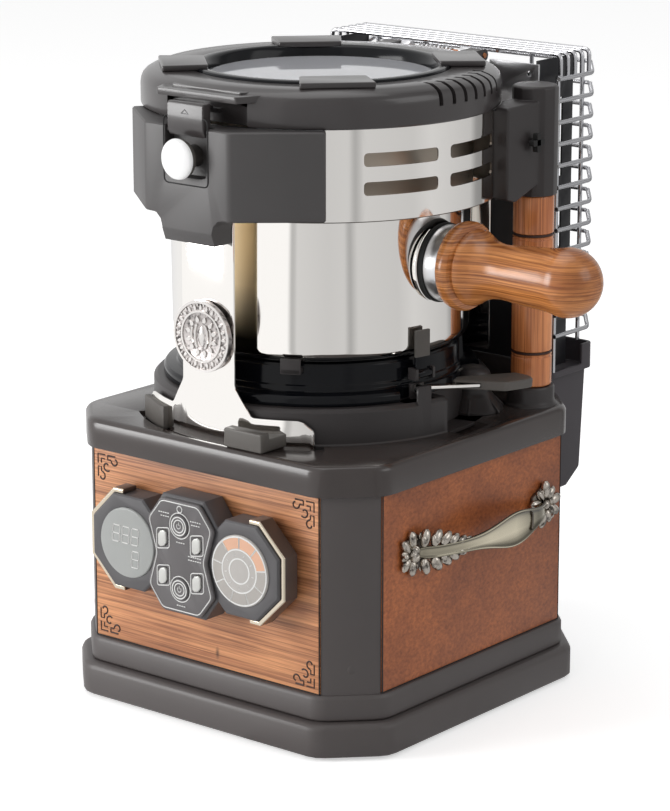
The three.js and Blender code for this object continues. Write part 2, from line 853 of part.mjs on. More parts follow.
function deck() {
  const cap = moulding([
    [capProud - 1, panelTop + gap], [capProud, panelTop + gap + 1.5],
    [capProud, deckTop - capBevel], [capProud - capBevel * 0.4, deckTop - capBevel * 0.4],
    [capProud - capBevel, deckTop],
  ]);
  const under = deckTop - deckThickness;
  const ledge = under - airWellDepth;
  const platform = turned([
    [airWellRadius - 8, ledge], [airWellRadius + 3, ledge], [airWellRadius + 3, under],
    [platformRadius + 1, under], [platformRadius + 1, deckTop],
    [platformRadius, platformTop - platformBevel], [platformRadius - platformBevel, platformTop],
    [airWellRadius, platformTop], [airWellRadius, ledge + 3], [airWellRadius - 8, ledge + 3],
    [airWellRadius - 8, ledge],
  ], roundSides).translate(towerX, 0, 0);
  const cups = [1, -1].map((side) => turned([
    [0, deckTop - 1], [cupRadius, deckTop - 1], [cupRadius, deckTop + cupHeight - 2],
    [cupRadius - 1, deckTop + cupHeight], [0, deckTop + cupHeight],
  ], 14).translate(side * columnSpread, columnY, 0));
  const rearPlinth = box(towerX - shroudHalf, towerX + shroudHalf, shroudY - 1,
    halfBase - 10, deckTop - 1, platformTop);
  const groove = common(ring(grooveInner, grooveOuter, deckTop - deckGrooveDepth,
    deckTop + overshoot, skinSides), wedge(-40, 40, 0, deckTop + 9)).translate(towerX, 0, 0);
  const recess = common(ring(recessRadius, platformRadius + 34, deckTop, platformTop + overshoot, roundSides),
    wedge(recessStart, recessEnd, deckTop, platformTop + overshoot)).translate(towerX, 0, 0);
  const sump = common(ring(recessRadius + 1, platformRadius + 12, deckTop - 4, deckTop + overshoot, roundSides),
    wedge(recessStart + 1, recessStart + 16, deckTop - 4, deckTop + 9)).translate(towerX, 0, 0);
  const opening = drum(airWellRadius, under - overshoot, platformTop + overshoot, roundSides)
    .translate(towerX, 0, 0);
  const shell = cut(cap, deckHollow(), opening);
  return join(cut(join(shell, platform, rearPlinth), recess, groove, sump,
    valveRoom().translate(towerX, 0, 0)), ...cups,
    ...leverEars());
}

const deckGrooveFloor = deckTop - deckGrooveDepth;

// Curved wall piece standing in front of the foot of the strip, on its left.
function leftDeckClip() {
  const inner = stripRadius + stripThickness + gap;
  const wall = ring(inner, inner + 4, deckGrooveFloor + gap, deckTop + clipHeight, skinSides);
  return common(wall, wedge(-37, -20, 0, deckTop + 40));
}

function rightDeckClip() {
  const inner = stripRadius + stripThickness + gap;
  const front = inner + 10.7;
  const block = frontSlab(rectangle(24, 57, deckTop + gap, deckTop + clipHeight, 1.5),
    -front, -inner + 26, 0.8);
  const notch = frontSlab(rectangle(20, 65, deckTop + 9, deckTop + 30), -front + 8, -inner + 30);
  return cut(block, drum(inner, deckTop - overshoot, deckTop + 40, skinSides), notch);
}

// Seat ring under the pot, with three tabs round it and the ears of the pot clip

function seatRing() {
  const bottom = platformTop + gap;
  const top = bottom + seatHeight;
  const collarTop = bottom + seatCollarHeight;
  const body = turned([
    [seatInner, bottom], [seatCollarRadius, bottom], [seatCollarRadius, collarTop - 2],
    [seatCollarRadius - 1.5, collarTop], [seatOuter + 0.5, collarTop], [seatOuter - 1.5, top],
    [seatInner, top], [seatInner, bottom],
  ], roundSides);
  const recess = common(ring(seatOuter + 1, seatCollarRadius + 1, bottom - overshoot,
    collarTop + overshoot, roundSides),
  wedge(leverAzimuth - 8, recessEnd, bottom - 2, collarTop + 2));
  const tabs = [0, 120, 240].map((turn) => facing(join(
    box(-seatTabWidth / 2, seatTabWidth / 2, -potRadius - 1, -seatOuter + 4, top - 6, top - 2),
    box(-seatTabWidth / 2, seatTabWidth / 2, -potRadius - 1, -potRadius + 1.6, top - 6, top + 5),
  ), seatTabAzimuth + turn));
  const half = potClipWidth / 2;
  const ears = [-half - gap - 2, half + gap].map((x) =>
    sideSlab(rectangle(-clipPivotRadius - 3, -seatOuter + 4, clipPivotZ - 4, clipPivotZ + 4, 1),
      x, x + 2));
  const pin = turnedX([[0, -half - 2], [potClipPin, -half - 2], [potClipPin, half + 2],
    [0, half + 2]], 12).translate(0, -clipPivotRadius, clipPivotZ);
  const back = box(-potRadius, potRadius, shroudY - shieldThickness - 2 * gap, shroudY + 20,
    bottom - 1, top + 1);
  return join(cut(body, recess, valveRoom(), back), spider(bottom), ...tabs,
    ...[...ears, pin].map((part) => facing(part, clipAzimuth)));
}

// Three spokes with the bearing of the stirrer's shaft.
function spider(bottom) {
  const bearing = ring(shaftRadius + gap, shaftRadius + 5, bottom, bottom + 14, 12);
  const spokes = [90, 210, 330].map((azimuth) => facing(
    box(-3, 3, -seatInner - 2, -shaftRadius - 3, bottom, bottom + 5), azimuth));
  return join(bearing, ...spokes);
}

const clipPivotRadius = potRadius + potClipEye;
const clipPivotZ = potFloor - 10;

function potClip() {
  const y = -clipPivotRadius;
  const inner = -potRadius - runningGap;
  const plate = sideSlab(rectangle(inner - potClipThickness, inner, clipPivotZ,
    clipPivotZ + potClipLength, 0.8), -potClipWidth / 2, potClipWidth / 2);
  const eye = turnedX([[0, -potClipWidth / 2], [potClipEye, -potClipWidth / 2],
    [potClipEye, potClipWidth / 2], [0, potClipWidth / 2]], 16).translate(0, y, clipPivotZ);
  const bore = turnedX([[0, -potClipWidth], [potClipPin + gap, -potClipWidth],
    [potClipPin + gap, potClipWidth], [0, potClipWidth]], 16).translate(0, y, clipPivotZ);
  return facing(cut(join(plate, eye), bore), clipAzimuth);
}

// Pot with its handle

function pot() {
  const bottom = potFloor;
  const top = bottom + potHeight;
  const wall = potWall;
  const waist = potRadius - potTaper;
  const round = waist - potBaseRadius;
  const steps = 2;
  const corner = (radius) => Array.from({ length: steps + 1 }, (_, i) => {
    const angle = (Math.PI / 2) * (i / steps);
    return [potBaseRadius + radius * Math.sin(angle), bottom + round - radius * Math.cos(angle)];
  });
  const profile = [
    [shaftRadius + runningGap, bottom], ...corner(round),
    [potRadius, top - 6], [potRimRadius, top - 1.2], [potRimRadius, top],
    [potRadius - wall, top - 4], ...corner(round - wall).reverse(),
    [shaftRadius + runningGap, bottom + wall], [shaftRadius + runningGap, bottom],
  ];
  return turned(profile, roundSides);
}

const handleZ = potFloor + handleHeight;

function potCollar() {
  const start = potRadius - 8;
  const end = potRadius + collarLength;
  const body = turnedX([
    [0, start], [collarPlateRadius, start], [collarPlateRadius, potRadius - 1.5],
    [collarRadius, potRadius - 0.5], [collarRadius - 0.8, end], [0, end],
  ]).translate(0, 0, handleZ);
  return cut(body, drum(potRadius + gap, handleZ - 60, handleZ + 60, roundSides));
}

function potHandle() {
  const start = potRadius + collarLength + gap;
  const end = potRadius - 12 + handleLength + handleBallRadius;
  const ball = end - handleBallRadius;
  const flange = start + handleFlangeLength;
  const capSteps = 4;
  const cap = Array.from({ length: capSteps }, (_, i) => {
    const angle = (Math.PI / 2) * ((i + 1) / capSteps);
    return [handleBallRadius * Math.cos(angle), ball + handleBallRadius * Math.sin(angle)];
  });
  return turnedX([
    [0, start], [handleRootRadius - 1, start], [handleRootRadius + 1, start + 2],
    [handleFlangeRadius, start + 5], [handleFlangeRadius - 0.6, flange - 3],
    [handleFlangeRadius - 4, flange], [handleNeckRadius + 2.6, flange + 0.6],
    [handleNeckRadius + 0.6, flange + 4], [handleNeckRadius, flange + 16],
    [handleNeckRadius + 0.6, flange + 34], [handleNeckRadius + 2.4, ball - 14],
    [handleBallRadius, ball], ...cap,
  ]).translate(0, 0, handleZ);
}

function stirrer() {
  const floor = potFloor + potWall + stirrerLift;
  const hub = turned([[0, floor], [stirrerHub, floor], [stirrerHub, floor + 14],
    [stirrerHub - 4, floor + 22], [0, floor + 24]], 16);
  const shaft = drum(shaftRadius, platformTop + gap, floor + 2, 14);
  const blades = [0, 120, 240].map((turn) => sideSlab(outline([
    [-5, floor + 0.5], [5, floor + 0.5], [3, floor + 5], [-1, floor + 12]]), 4, stirrerReach)
    .rotateZ(radians(turn)));
  return join(hub, shaft, ...blades);
}

// Upper sleeve, strip and badge

const ventPlaces = ventRowHeights.flatMap((height) => [0, 1].flatMap((column) => {
  const middle = ventFirstAzimuth + ventArc / 2 + column * (ventArc + ventGapArc);
  return [[middle, height], [-middle, height]];
}));

function ventCutter(azimuth, height) {
  const half = sleeveRadius * Math.sin(radians(ventArc / 2));
  const low = sleeveBottom + height - ventHeight / 2;
  return facing(frontSlab(rectangle(-half, half, low, low + ventHeight, 2.5),
    -sleeveRadius - overshoot, -sleeveRadius * 0.9 + 4, 0, 1), azimuth);
}

function upperSleeve() {
  const inner = sleeveRadius - sleeveWall;
  const shell = turned([
    [inner - sleeveLip, sleeveBottom], [sleeveRadius, sleeveBottom], [sleeveRadius, sleeveTop],
    [inner, sleeveTop], [inner, sleeveBottom + 1.4], [inner - sleeveLip, sleeveBottom + 1.4],
    [inner - sleeveLip, sleeveBottom],
  ], skinSides);
  const seam = facing(box(-seamWidth / 2, seamWidth / 2, -sleeveRadius - overshoot,
    -sleeveRadius + 4, sleeveBottom + 4, sleeveTop + overshoot), seamAzimuth);
  return cut(shell, seam, ...ventPlaces.map(([azimuth, height]) => ventCutter(azimuth, height)));
}

function frontStrip() {
  const top = sleeveBottom - gap;
  const foot = deckGrooveFloor + gap;
  const shoulder = deckTop + footStripHeight + 4;
  const sheet = ring(stripRadius, stripRadius + stripThickness, foot, top, skinSides);
  const corners = mirrored([
    [footHalfWidth, foot - 1], [footHalfWidth, shoulder - footChamfer],
    [footHalfWidth - footChamfer, shoulder], [stripHalfWidth + footFlare, shoulder],
    [stripHalfWidth, shoulder + footFlare * 1.3], [stripHalfWidth, top + 1],
  ].reverse()).reverse();
  return common(sheet, frontSlab(outline(corners, 1.5), -stripRadius - 80, -stripRadius / 2));
}

function badge() {
  const back = -(stripRadius + stripThickness + gap);
  const face = back - badgeStandOff - badgeThickness;
  const plate = frontSlab(disc(badgeRadius), face, face + badgeThickness, 0.8, 9);
  const post = frontSlab(disc(9), face + badgeThickness - 1, back + 2, 0, 6);
  const dish = frontSlab(disc(badgeRadius - 4), face - overshoot, face + 0.7, 0, 9);
  const centre = frontSlab(disc(badgeRadius - 9), face, face + 1, 0, 9);
  const body = join(cut(plate, dish), centre, post).translate(0, 0, deckTop + badgeHeight);
  return cut(body, drum(-back, deckTop, sleeveBottom, skinSides));
}

// Latch housing: a half octagon wrapped round the front of the sleeve

const housingTop = lidBottom - gap;
const housingBottom = housingTop - housingHeight;

function housingPlan() {
  const wing = radians(housingWingAngle);
  const endX = housingHalfWidth + housingWingLength * Math.cos(wing);
  const endY = -housingReach + housingWingLength * Math.sin(wing);
  const inner = (sleeveRadius - 6) / Math.hypot(endX, endY);
  return outline(mirrored([
    [housingHalfWidth, -housingReach], [endX, endY], [endX * inner, endY * inner],
  ]), 2.5);
}

function latchHousing() {
  const bottom = housingBottom - tongueDrop;
  const body = slab(housingPlan(), housingBottom, housingTop, 1);
  const tongueSide = outline([
    [-housingReach, housingBottom + 6], [-housingReach, bottom + tongueChamfer],
    [-housingReach + 3, bottom], [-sleeveRadius + 8, bottom], [-sleeveRadius + 8, housingBottom + 6],
  ]);
  const wide = tongueHalfWidth + notchRadius;
  const tongue = sideSlab(tongueSide, -wide, wide);
  const bites = [-1, 1].map((side) => frontSlab(
    disc(notchRadius, side * wide, housingBottom - notchRadius + 1),
    -housingReach - overshoot, -sleeveRadius / 2, 0, 6));
  const corners = [-1, 1].map((side) => box(side > 0 ? tongueHalfWidth : -wide - 1,
    side > 0 ? wide + 1 : -tongueHalfWidth, -housingReach - 1, -sleeveRadius / 2,
    bottom - 1, housingBottom - notchRadius + 1));
  const recess = frontSlab(rectangle(-latchRecessHalf, latchRecessHalf,
    housingTop - latchRecessHeight, housingTop + 20, 5), -housingReach - overshoot,
    -housingReach + latchRecessDepth);
  const bore = frontSlab(disc(latchButtonStem + gap), -housingReach, -sleeveRadius - 0.5, 0, 8)
    .translate(0, 0, latchButtonZ);
  const block = cut(join(body, cut(tongue, ...bites, ...corners)),
    drum(sleeveRadius + gap, bottom - overshoot, housingTop + overshoot, skinSides), recess, bore);
  return join(block, crossPin(catchPin, latchRecessHalf + 1));
}

const latchButtonZ = housingTop - 20;

function latchButton() {
  const face = -housingReach - latchButtonProud;
  const head = frontSlab(disc(latchButtonRadius), face, face + 7, 1.6, 8);
  const stem = frontSlab(disc(latchButtonStem), face + 5, -sleeveRadius - latchTravel - 3, 0, 8);
  return join(head, stem).translate(0, 0, latchButtonZ);
}

const catchFront = -housingReach - 0.6;
const catchPinY = catchFront + catchThickness / 2;
const catchPinZ = housingTop - catchPivotDrop;
const catchBottom = catchPinZ - catchPin - 1.4;

function crossPin(radius, half, sides = 10) {
  return turnedX([[0, -half], [radius, -half], [radius, half], [0, half]], sides)
    .translate(0, catchPinY, catchPinZ);
}

function latchCatch() {
  const top = catchBottom + catchHeight;
  const back = catchFront + catchThickness;
  const plate = sideSlab(outline([
    [catchFront + 2, catchBottom], [back - 1, catchBottom], [back, catchBottom + 3],
    [back, top], [catchFront + 1, top], [catchFront, top - 2],
    [catchFront, catchBottom + 6], [catchFront + 0.6, catchBottom + 3],
  ]), -catchHalfWidth, catchHalfWidth, 0.6);
  const tip = keeperFront - catchMiss;
  const hook = sideSlab(outline([
    [back - 1, keeperTop + gap], [tip, keeperTop + gap],
    [tip, keeperTop + 1.5], [back + 6, keeperTop + 4], [back - 1, keeperTop + 4],
  ]), -6, 6);
  return cut(join(plate, hook), crossPin(catchPin + gap, catchHalfWidth + 1));
}

// Lid with its glass

function lid() {
  const outer = lidRadius;
  const wall = lidWall;
  const shell = turned([
    [outer - wall, lidBottom], [outer - 0.4, lidBottom], [outer, lidBottom + 2],
    [outer, lidShoulder - 8], [outer - 3, lidShoulder - 2], [outer - 12, lidShoulder + 1.8], [lidRecess + gap, lidTop],
    [lidRecess + gap, lidTop - glassRingHeight + 4], [lidHole, lidTop - glassRingHeight + 4],
    [lidHole, lidTop - glassRingHeight], [outer - 12, lidShoulder - wall],
    [outer - wall - 1, lidShoulder - 8], [outer - wall, lidBottom],
  ], roundSides);
  const lipTop = lidShoulder + 1;
  const lipRoot = -lidRadius + 17.3;
  const lip = slab(outline([[-lipHalfWidth, -lipReach], [lipHalfWidth, -lipReach],
    [lipHalfWidth + 10, lipRoot], [-lipHalfWidth - 10, lipRoot]]), lipTop - lipThickness,
  lipTop, 0.6);
  const wallY = -lidRadius + lipWallInset;
  const inner = box(-lipHalfWidth - 3, lipHalfWidth + 3, wallY, wallY + wall, lidBottom + 0.5,
    lidShoulder - 1);
  const recess = box(-lipHalfWidth, lipHalfWidth, -lipReach - 12, wallY, lidBottom - 1,
    lipTop - lipThickness);
  const keeper = box(-10, 10, keeperFront, wallY + 1, keeperTop - 3, keeperTop);
  const vents = Array.from({ length: lidVentCount }, (_, i) => facing(
    box(-lidVentWidth / 2, lidVentWidth / 2, -lidRadius - 2, -lidRadius + 15,
      lidShoulder - 10, lidTop + 4), lidVentAzimuth + i * lidVentPitch));
  const ears = [1, -1].map((side) => {
    const start = side > 0 ? knuckleInner + knuckleWidth + gap
      : -knuckleInner - knuckleWidth - gap - earWidth;
    const arm = sideSlab(outline([[earRoot, lidShoulder - 4], [hingeY, hingeZ - knuckleRadius + 0.2],
      [hingeY, hingeZ + knuckleRadius - 0.2], [earRoot, lidTop - 1.5]]), start,
    start + earWidth);
    return join(arm, knuckle(start, start + earWidth));
  });
  const body = cut(join(shell, lip, inner), recess, ...vents);
  return cut(join(body, keeper, ...ears), pinCutter());
}

function knuckle(from, to) {
  return turnedX([[0, from], [knuckleRadius, from], [knuckleRadius, to], [0, to]], 10)
    .translate(0, hingeY, hingeZ);
}

function pinCutter() {
  const half = knuckleInner + knuckleWidth + earWidth + 5;
  return turnedX([[0, -half], [hingePinRadius + gap, -half], [hingePinRadius + gap, half],
    [0, half]], 10).translate(0, hingeY, hingeZ);
}

function hingePin() {
  const half = knuckleInner + knuckleWidth + earWidth + 1;
  return turnedX([[0, -half], [hingePinRadius, -half], [hingePinRadius, half], [0, half]], 16)
    .translate(0, hingeY, hingeZ);
}

// Steel plate behind the sleeve that carries the fixed knuckles.
function hingeRail() {
  const front = sleeveRadius + gap;
  const back = front + railPlateThickness;
  const top = sleeveTop - 1;
  const bottom = top - railPlateHeight;
  const plate = frontSlab(outline([
    [-railPlateHalf, bottom], [railPlateHalf, bottom], [railPlateHalf, top + railHornRise],
    [railHornStart, top + railHornRise], [railHornStart, top], [-railHornStart, top],
    [-railHornStart, top + railHornRise], [-railPlateHalf, top + railHornRise],
  ]), front, back);
  const lugs = [knuckleInner, -knuckleInner - knuckleWidth].map((x) => join(
    sideSlab(outline([[front, top - 12], [back + 1, top - 12], [hingeY + 2, hingeZ - 5],
      [hingeY + 3, hingeZ], [hingeY - 3, hingeZ], [front + 1.5, top], [front, top - 1]]),
    x, x + knuckleWidth), knuckle(x, x + knuckleWidth)));
  const screwHoles = [-1, 1].map((side) => frontSlab(
    disc(2, side * (railPlateHalf - 8), top + railHornRise - 7), front - 1, back + 1, 0, 4));
  return cut(join(plate, ...lugs), pinCutter(), ...screwHoles);
}

function glassRingPiece() {
  const base = lidTop - glassRingHeight + 4 + gap;
  const top = base + glassRingHeight;
  const outer = lidRecess;
  const inner = lidHole;
  const body = turned([
    [inner, base + 3], [glassRadius + gap, base + 3], [glassRadius + gap, base], [outer, base],
    [outer, top - 1.8], [outer - 2.5, top], [inner + 2, top - 0.6], [inner, base + 3],
  ], roundSides);
  const claws = Array.from({ length: clawCount }, (_, i) => facing(slab(
    outline([[-clawWidth / 2, -outer - 14], [clawWidth / 2, -outer - 14],
      [clawWidth / 2 - 3, -outer - 14 + clawLength], [3 - clawWidth / 2, -outer - 14 + clawLength],
    ]), Math.max(top - 2, lidTop + gap), top + clawHeight, 0.7), 45 + i * 90));
  return join(body, ...claws);
}

function lidGlass() {
  const base = lidTop - glassRingHeight + 4 + gap;
  return drum(glassRadius, base, base + 3 - gap, roundSides);
}

// Columns with their upper brackets, drawn for the +X side

function column() {
  const notch = columnGroove;
  const grooves = [columnFoot + lowGroove, columnTop - highGroove].flatMap((height) => [
    [columnRadius, height - 1.8], [columnRadius - notch, height], [columnRadius, height + 1.8],
  ]);
  return turned([
    [0, columnFoot], [columnRadius - 0.6, columnFoot], [columnRadius, columnFoot + 1],
    ...grooves, [columnRadius, columnTop - 1], [columnRadius - 0.6, columnTop], [0, columnTop],
  ]);
}

function columnBracket(side) {
  const top = capPostBottom + capPostHeight;
  const post = turned([
    [0, capPostBottom], [capPostRadius, capPostBottom], [capPostRadius, top - 1.5],
    [capPostRadius - 1.5, top], [0, top],
  ]).translate(columnSpread, columnY, 0);
  const armTop = capPostBottom + armHeight;
  const outerX = columnSpread + 11;
  const arm = sideSlab(outline([
    [columnY - armReach, capPostBottom + 3], [columnY - armReach + armRound, capPostBottom],
    [columnY - 6, capPostBottom + 10], [columnY, capPostBottom + 14], [columnY, armTop],
    [columnY - armReach, armTop - 1],
  ], 1.5), outerX - armThickness, outerX, 1);
  const bracket = side > 0 ? join(post, arm) : join(post, arm).scale(-1, 1, 1);
  const axis = (geometry) => geometry.translate(towerX, 0, 0);
  return cut(bracket,
    axis(drum(sleeveRadius + gap, capPostBottom - 9, sleeveTop + 2, skinSides)),
    axis(drum(lidRadius + runningGap, sleeveTop - 1, top + overshoot, skinSides)));
}

// Release lever, drawn along +X from its pivot

function leverArm() {
  const half = leverArmWidth / 2;
  const eye = turned([[leverPinRadius + gap, -half], [leverEye, -half], [leverEye, half],
    [leverPinRadius + gap, half], [leverPinRadius + gap, -half]], 16).rotateX(Math.PI / 2);
  const strip = frontSlab(outline([
    [1, 1.2], [leverArmLength, 1.2], [leverArmLength, 1.2 + leverArmThickness],
    [1, 1.2 + leverArmThickness]]), -half, half);
  const bore = drum(leverPinRadius + gap, -half - 1, half + 1, 16).rotateX(Math.PI / 2);
  return cut(join(eye, strip), bore);
}

function leverGrip() {
  const middle = 1.2 + leverArmThickness / 2;
  const low = middle - leverGripThickness / 2;
  const blade = slab(outline([[27, 4], [62, -11], [88, -3], [92, 6], [87, 18], [36, 13]], 3),
    low, low + leverGripThickness, 0.9);
  const half = leverArmWidth / 2 + gap;
  const pocket = frontSlab(rectangle(0, leverArmLength + gap, 1.2 - gap,
    1.2 + leverArmThickness + gap), -half, half);
  return cut(blade, pocket);
}

// Round valve cap with a ribbed skirt, behind the lever.
function valveCap() {
  const base = deckTop + gap;
  const neck = base + 12;
  const top = base + valveHeight;
  const body = turned([
    [0, base], [valveSkirt - 2, base], [valveSkirt - 2, base + 2], [valveRadius + 1, neck],
    [valveRadius, neck + 2], [valveRadius, top - 7], [valveRadius - 2, top - 3],
    [valveRadius - 6, top - 0.6], [0, top],
  ]);
  const ribs = Array.from({ length: valveRibs }, (_, i) => frontSlab(outline([
    [4, base], [valveSkirt, base], [valveSkirt, base + 1.5], [valveRadius, neck], [4, neck],
  ]), -valveRib / 2, valveRib / 2).rotateZ((2 * Math.PI * i) / valveRibs));
  return join(body, ...ribs);
}

// Rear shroud: a sheet bent to a U, with slotted sides

function rearShroud() {
  const bottom = platformTop + gap;
  const frontTop = sleeveBottom - gap;
  const sideBottom = trayTop + gap;
  const top = lidTop - shroudDrop;
  const back = shroudY + shroudDepth;
  const face = box(-shroudHalf, shroudHalf, shroudY, shroudY + shroudWall, bottom, frontTop);
  const sideStart = sleeveRadius + gap + railPlateThickness + gap;
  const sides = [1, -1].map((side) => {
    const x0 = side > 0 ? shroudHalf - shroudWall : -shroudHalf;
    return join(box(x0, x0 + shroudWall, shroudY, back, sideBottom, frontTop),
      box(x0, x0 + shroudWall, sideStart, back, sideBottom, top));
  });
  const slotRows = [24, 104];
  const slots = slotRows.flatMap((row) => [0, 1, 2].map((i) => sideSlab(
    rectangle(shroudY + 26 + i * 9, shroudY + 29 + i * 9, sideBottom + row,
      sideBottom + row + 56), -shroudHalf - 1, shroudHalf + 1)));
  return cut(join(face, ...sides), ...slots);
}

function heatShield() {
  const bottom = platformTop + gap + shieldLipHeight;
  const front = shroudY - gap - shieldThickness;
  return frontSlab(rectangle(-shieldHalf, shieldHalf, bottom, sleeveBottom - 3 * gap, 2),
    front, shroudY - gap);
}

// Wire guard round the shroud: flat welded panels of round wire

function wire(points, sides = 4) {
  const path = new THREE.CurvePath();
  for (let i = 0; i + 1 < points.length; i += 1) {
    path.add(new THREE.LineCurve3(points[i], points[i + 1]));
  }
  const section = new THREE.Shape();
  for (let i = 0; i < sides; i += 1) {
    const angle = (2 * Math.PI * (i + 0.5)) / sides;
    const [x, y] = [guardWire * Math.cos(angle), guardWire * Math.sin(angle)];
    if (i === 0) section.moveTo(x, y);
    else section.lineTo(x, y);
  }
  section.closePath();
  return new THREE.ExtrudeGeometry(section, {
    steps: points.length - 1, extrudePath: path, bevelEnabled: false,
  });
}

const guardTopRung = trayTop + guardClear + (guardRungs - 1) * guardPitch;
const guardTop = guardTopRung + guardRise;
const rungHeights = Array.from({ length: guardRungs }, (_, i) => guardTopRung - i * guardPitch);
const topWirePlaces = Array.from({ length: guardTopWires }, (_, i) =>
  guardY + 3 + (i * (guardDepth - 12)) / (guardTopWires - 1));

const straight = (x0, y0, z0, x1, y1, z1) =>
  wire([new THREE.Vector3(x0, y0, z0), new THREE.Vector3(x1, y1, z1)]);

// The panel on the +X side: its rungs turn in at the back and its top wires turn over.
function guardSide() {
  const x = guardHalf;
  const [front, back] = [guardY, guardY + guardDepth];
  const inner = x - guardBend;
  const rungs = rungHeights.map((z) => wire([
    new THREE.Vector3(x, front - 2, z), new THREE.Vector3(x, back - guardBend, z),
    new THREE.Vector3(inner, back, z + 6.5),
  ]));
  const bottom = trayTop + gap;
  const inside = x - guardLap;
  const upright = straight(inside, front, bottom, inside, front, guardTopRung + 2);
  const drops = topWirePlaces.map((y) => wire([
    new THREE.Vector3(x - guardLap, y, guardTopRung - 1),
    new THREE.Vector3(x - guardLap, y, guardTop - guardBend),
    new THREE.Vector3(x - guardBend * 0.6, y, guardTop),
    new THREE.Vector3(inner, y, guardTop),
  ]));
  return join(...rungs, upright, ...drops);
}

function guardBack() {
  const half = guardHalf - guardBend - gap - guardWire * 0.7;
  const back = guardY + guardDepth;
  const rungs = rungHeights.map((z) => straight(-half, back, z + 6.5, half, back, z + 6.5));
  const bottom = trayTop + gap;
  const uprights = [-1, 1].map((side) => straight(side * half * 0.5, back - guardLap,
    bottom, side * half * 0.5, back - guardLap, guardTopRung + 8));
  return join(...rungs, ...uprights);
}

function guardTopPanel() {
  const half = guardHalf - guardBend - gap;
  const wires = topWirePlaces.map((y) => straight(-half, y, guardTop, half, y, guardTop));
  const low = guardTop - guardLap;
  const ties = [-0.5, 0.5].map((share) => straight(half * share, topWirePlaces[0] - 1, low,
    half * share, topWirePlaces.at(-1) + 1, low));
  return join(...wires, ...ties);
}

// Chaff box: an open tray on the deck's back edge, with a narrower box hanging behind the base

function chaffBox() {
  const back = trayFront + trayDepth;
  const tray = slab(rectangle(-trayHalf, trayHalf, trayFront, back, 6), trayBottom, trayTop, 1);
  const inside = slab(rectangle(-trayHalf + boxWall, trayHalf - boxWall, trayFront + boxWall,
    back - boxWall, 4), trayBottom + boxWall, trayTop + 5);
  const front = halfBase + capProud + gap;
  const lower = sideSlab(outline([
    [front, trayBottom + 1], [front, trayBottom - boxDrop - boxSlant],
    [front + boxDepth - 6, trayBottom - boxDrop], [front + boxDepth, trayBottom + 1],
  ], 4), -boxHalf, boxHalf, 1.5);
  return cut(join(tray, lower), inside);
}

// Pieces inside the base

function fanMotor() {
  const floor = footHeight + 3 + gap;
  const top = floor + motorHeight;
  return turned([
    [0, floor], [motorRadius + 16, floor], [motorRadius + 16, floor + 3],
    [motorRadius, floor + 5], [motorRadius - 3, top], [shaftRadius, top],
    [shaftRadius, top + impellerHeight], [0, top + impellerHeight],
  ]);
}

function fanImpeller() {
  const floor = footHeight + 3 + gap + motorHeight + gap;
  const plate = turned([
    [shaftRadius + gap, floor], [impellerRadius, floor], [impellerRadius, floor + 2],
    [12, floor + 2], [12, floor + impellerHeight - 4],
    [shaftRadius + gap, floor + impellerHeight - 4], [shaftRadius + gap, floor],
  ]);
  const blades = Array.from({ length: bladeCount }, (_, i) =>
    box(20, impellerRadius - 3, -bladeThickness / 2, bladeThickness / 2, floor + 1,
      floor + impellerHeight).rotateZ(radians(-18)).rotateZ((2 * Math.PI * i) / bladeCount));
  return join(plate, ...blades);
}

function heater() {
  const ledge = deckTop - deckThickness - airWellDepth + 3;
  const radius = airWellRadius - heaterInset;
  const loop = new THREE.TorusGeometry(radius + 2, heaterTube, 5, 16)
    .translate(0, 0, ledge + gap + heaterTube);
  const bars = [0, 120, 240].map((turn) => box(radius - 6, radius + 4, -3, 3,
    ledge + gap, ledge + gap + 2).rotateZ(radians(turn)));
  return join(loop, ...bars);
}

// Assembly

piece('bottom_plate', bottomPlate(), blackPlastic);
piece('plinth', plinth(), darkPlastic);
piece('base_frame', baseFrame(), darkPlastic);
piece('panel_front', frontPanel(), frontWood);
piece('panel_right', panel().rotateZ(Math.PI / 2), sideWood);
piece('panel_left', panel().rotateZ(-Math.PI / 2), sideWood);
piece('panel_rear', rearPanel(), blackPlastic);
piece('power_inlet', powerInlet(), blackPlastic);
piece('deck', deck(), darkPlastic);

for (const [name, turn] of [['pull_right', 0], ['pull_left', Math.PI]]) {
  const mount = new THREE.Group();
  mount.position.set(0, 0, railTop + pullHeight);
  mount.rotation.z = turn;
  const mesh = piece(name, pull(), pewter, mount);
  mesh.position.set(-panelFace + gap, turn ? -pullShift : pullShift, 0);
  roaster.add(mount);
}

const control = new THREE.Group();
control.position.z = controlZ;
roaster.add(control);
piece('control_housing', controlHousing(), blackPlastic, control);
piece('control_plate', controlPlate(), greyPlastic, control);
piece('rim_right', sideRim(), champagne, control);
piece('rim_left', sideRim().rotateY(Math.PI).scale(1, 1, 1), champagne, control);
piece('control_board', controlBoard(), boardGreen, control);
for (const [name, x] of [['display_window', -controlSpread], ['dial_window', controlSpread]]) {
  piece(name, roundWindow(), displayGlass, control).position.x = x;
}
for (const [name, [x, z]] of Object.entries(keyPlaces)) {
  piece(name, keyCap(name), whiteKey, control).position.set(x, 0, z);
}

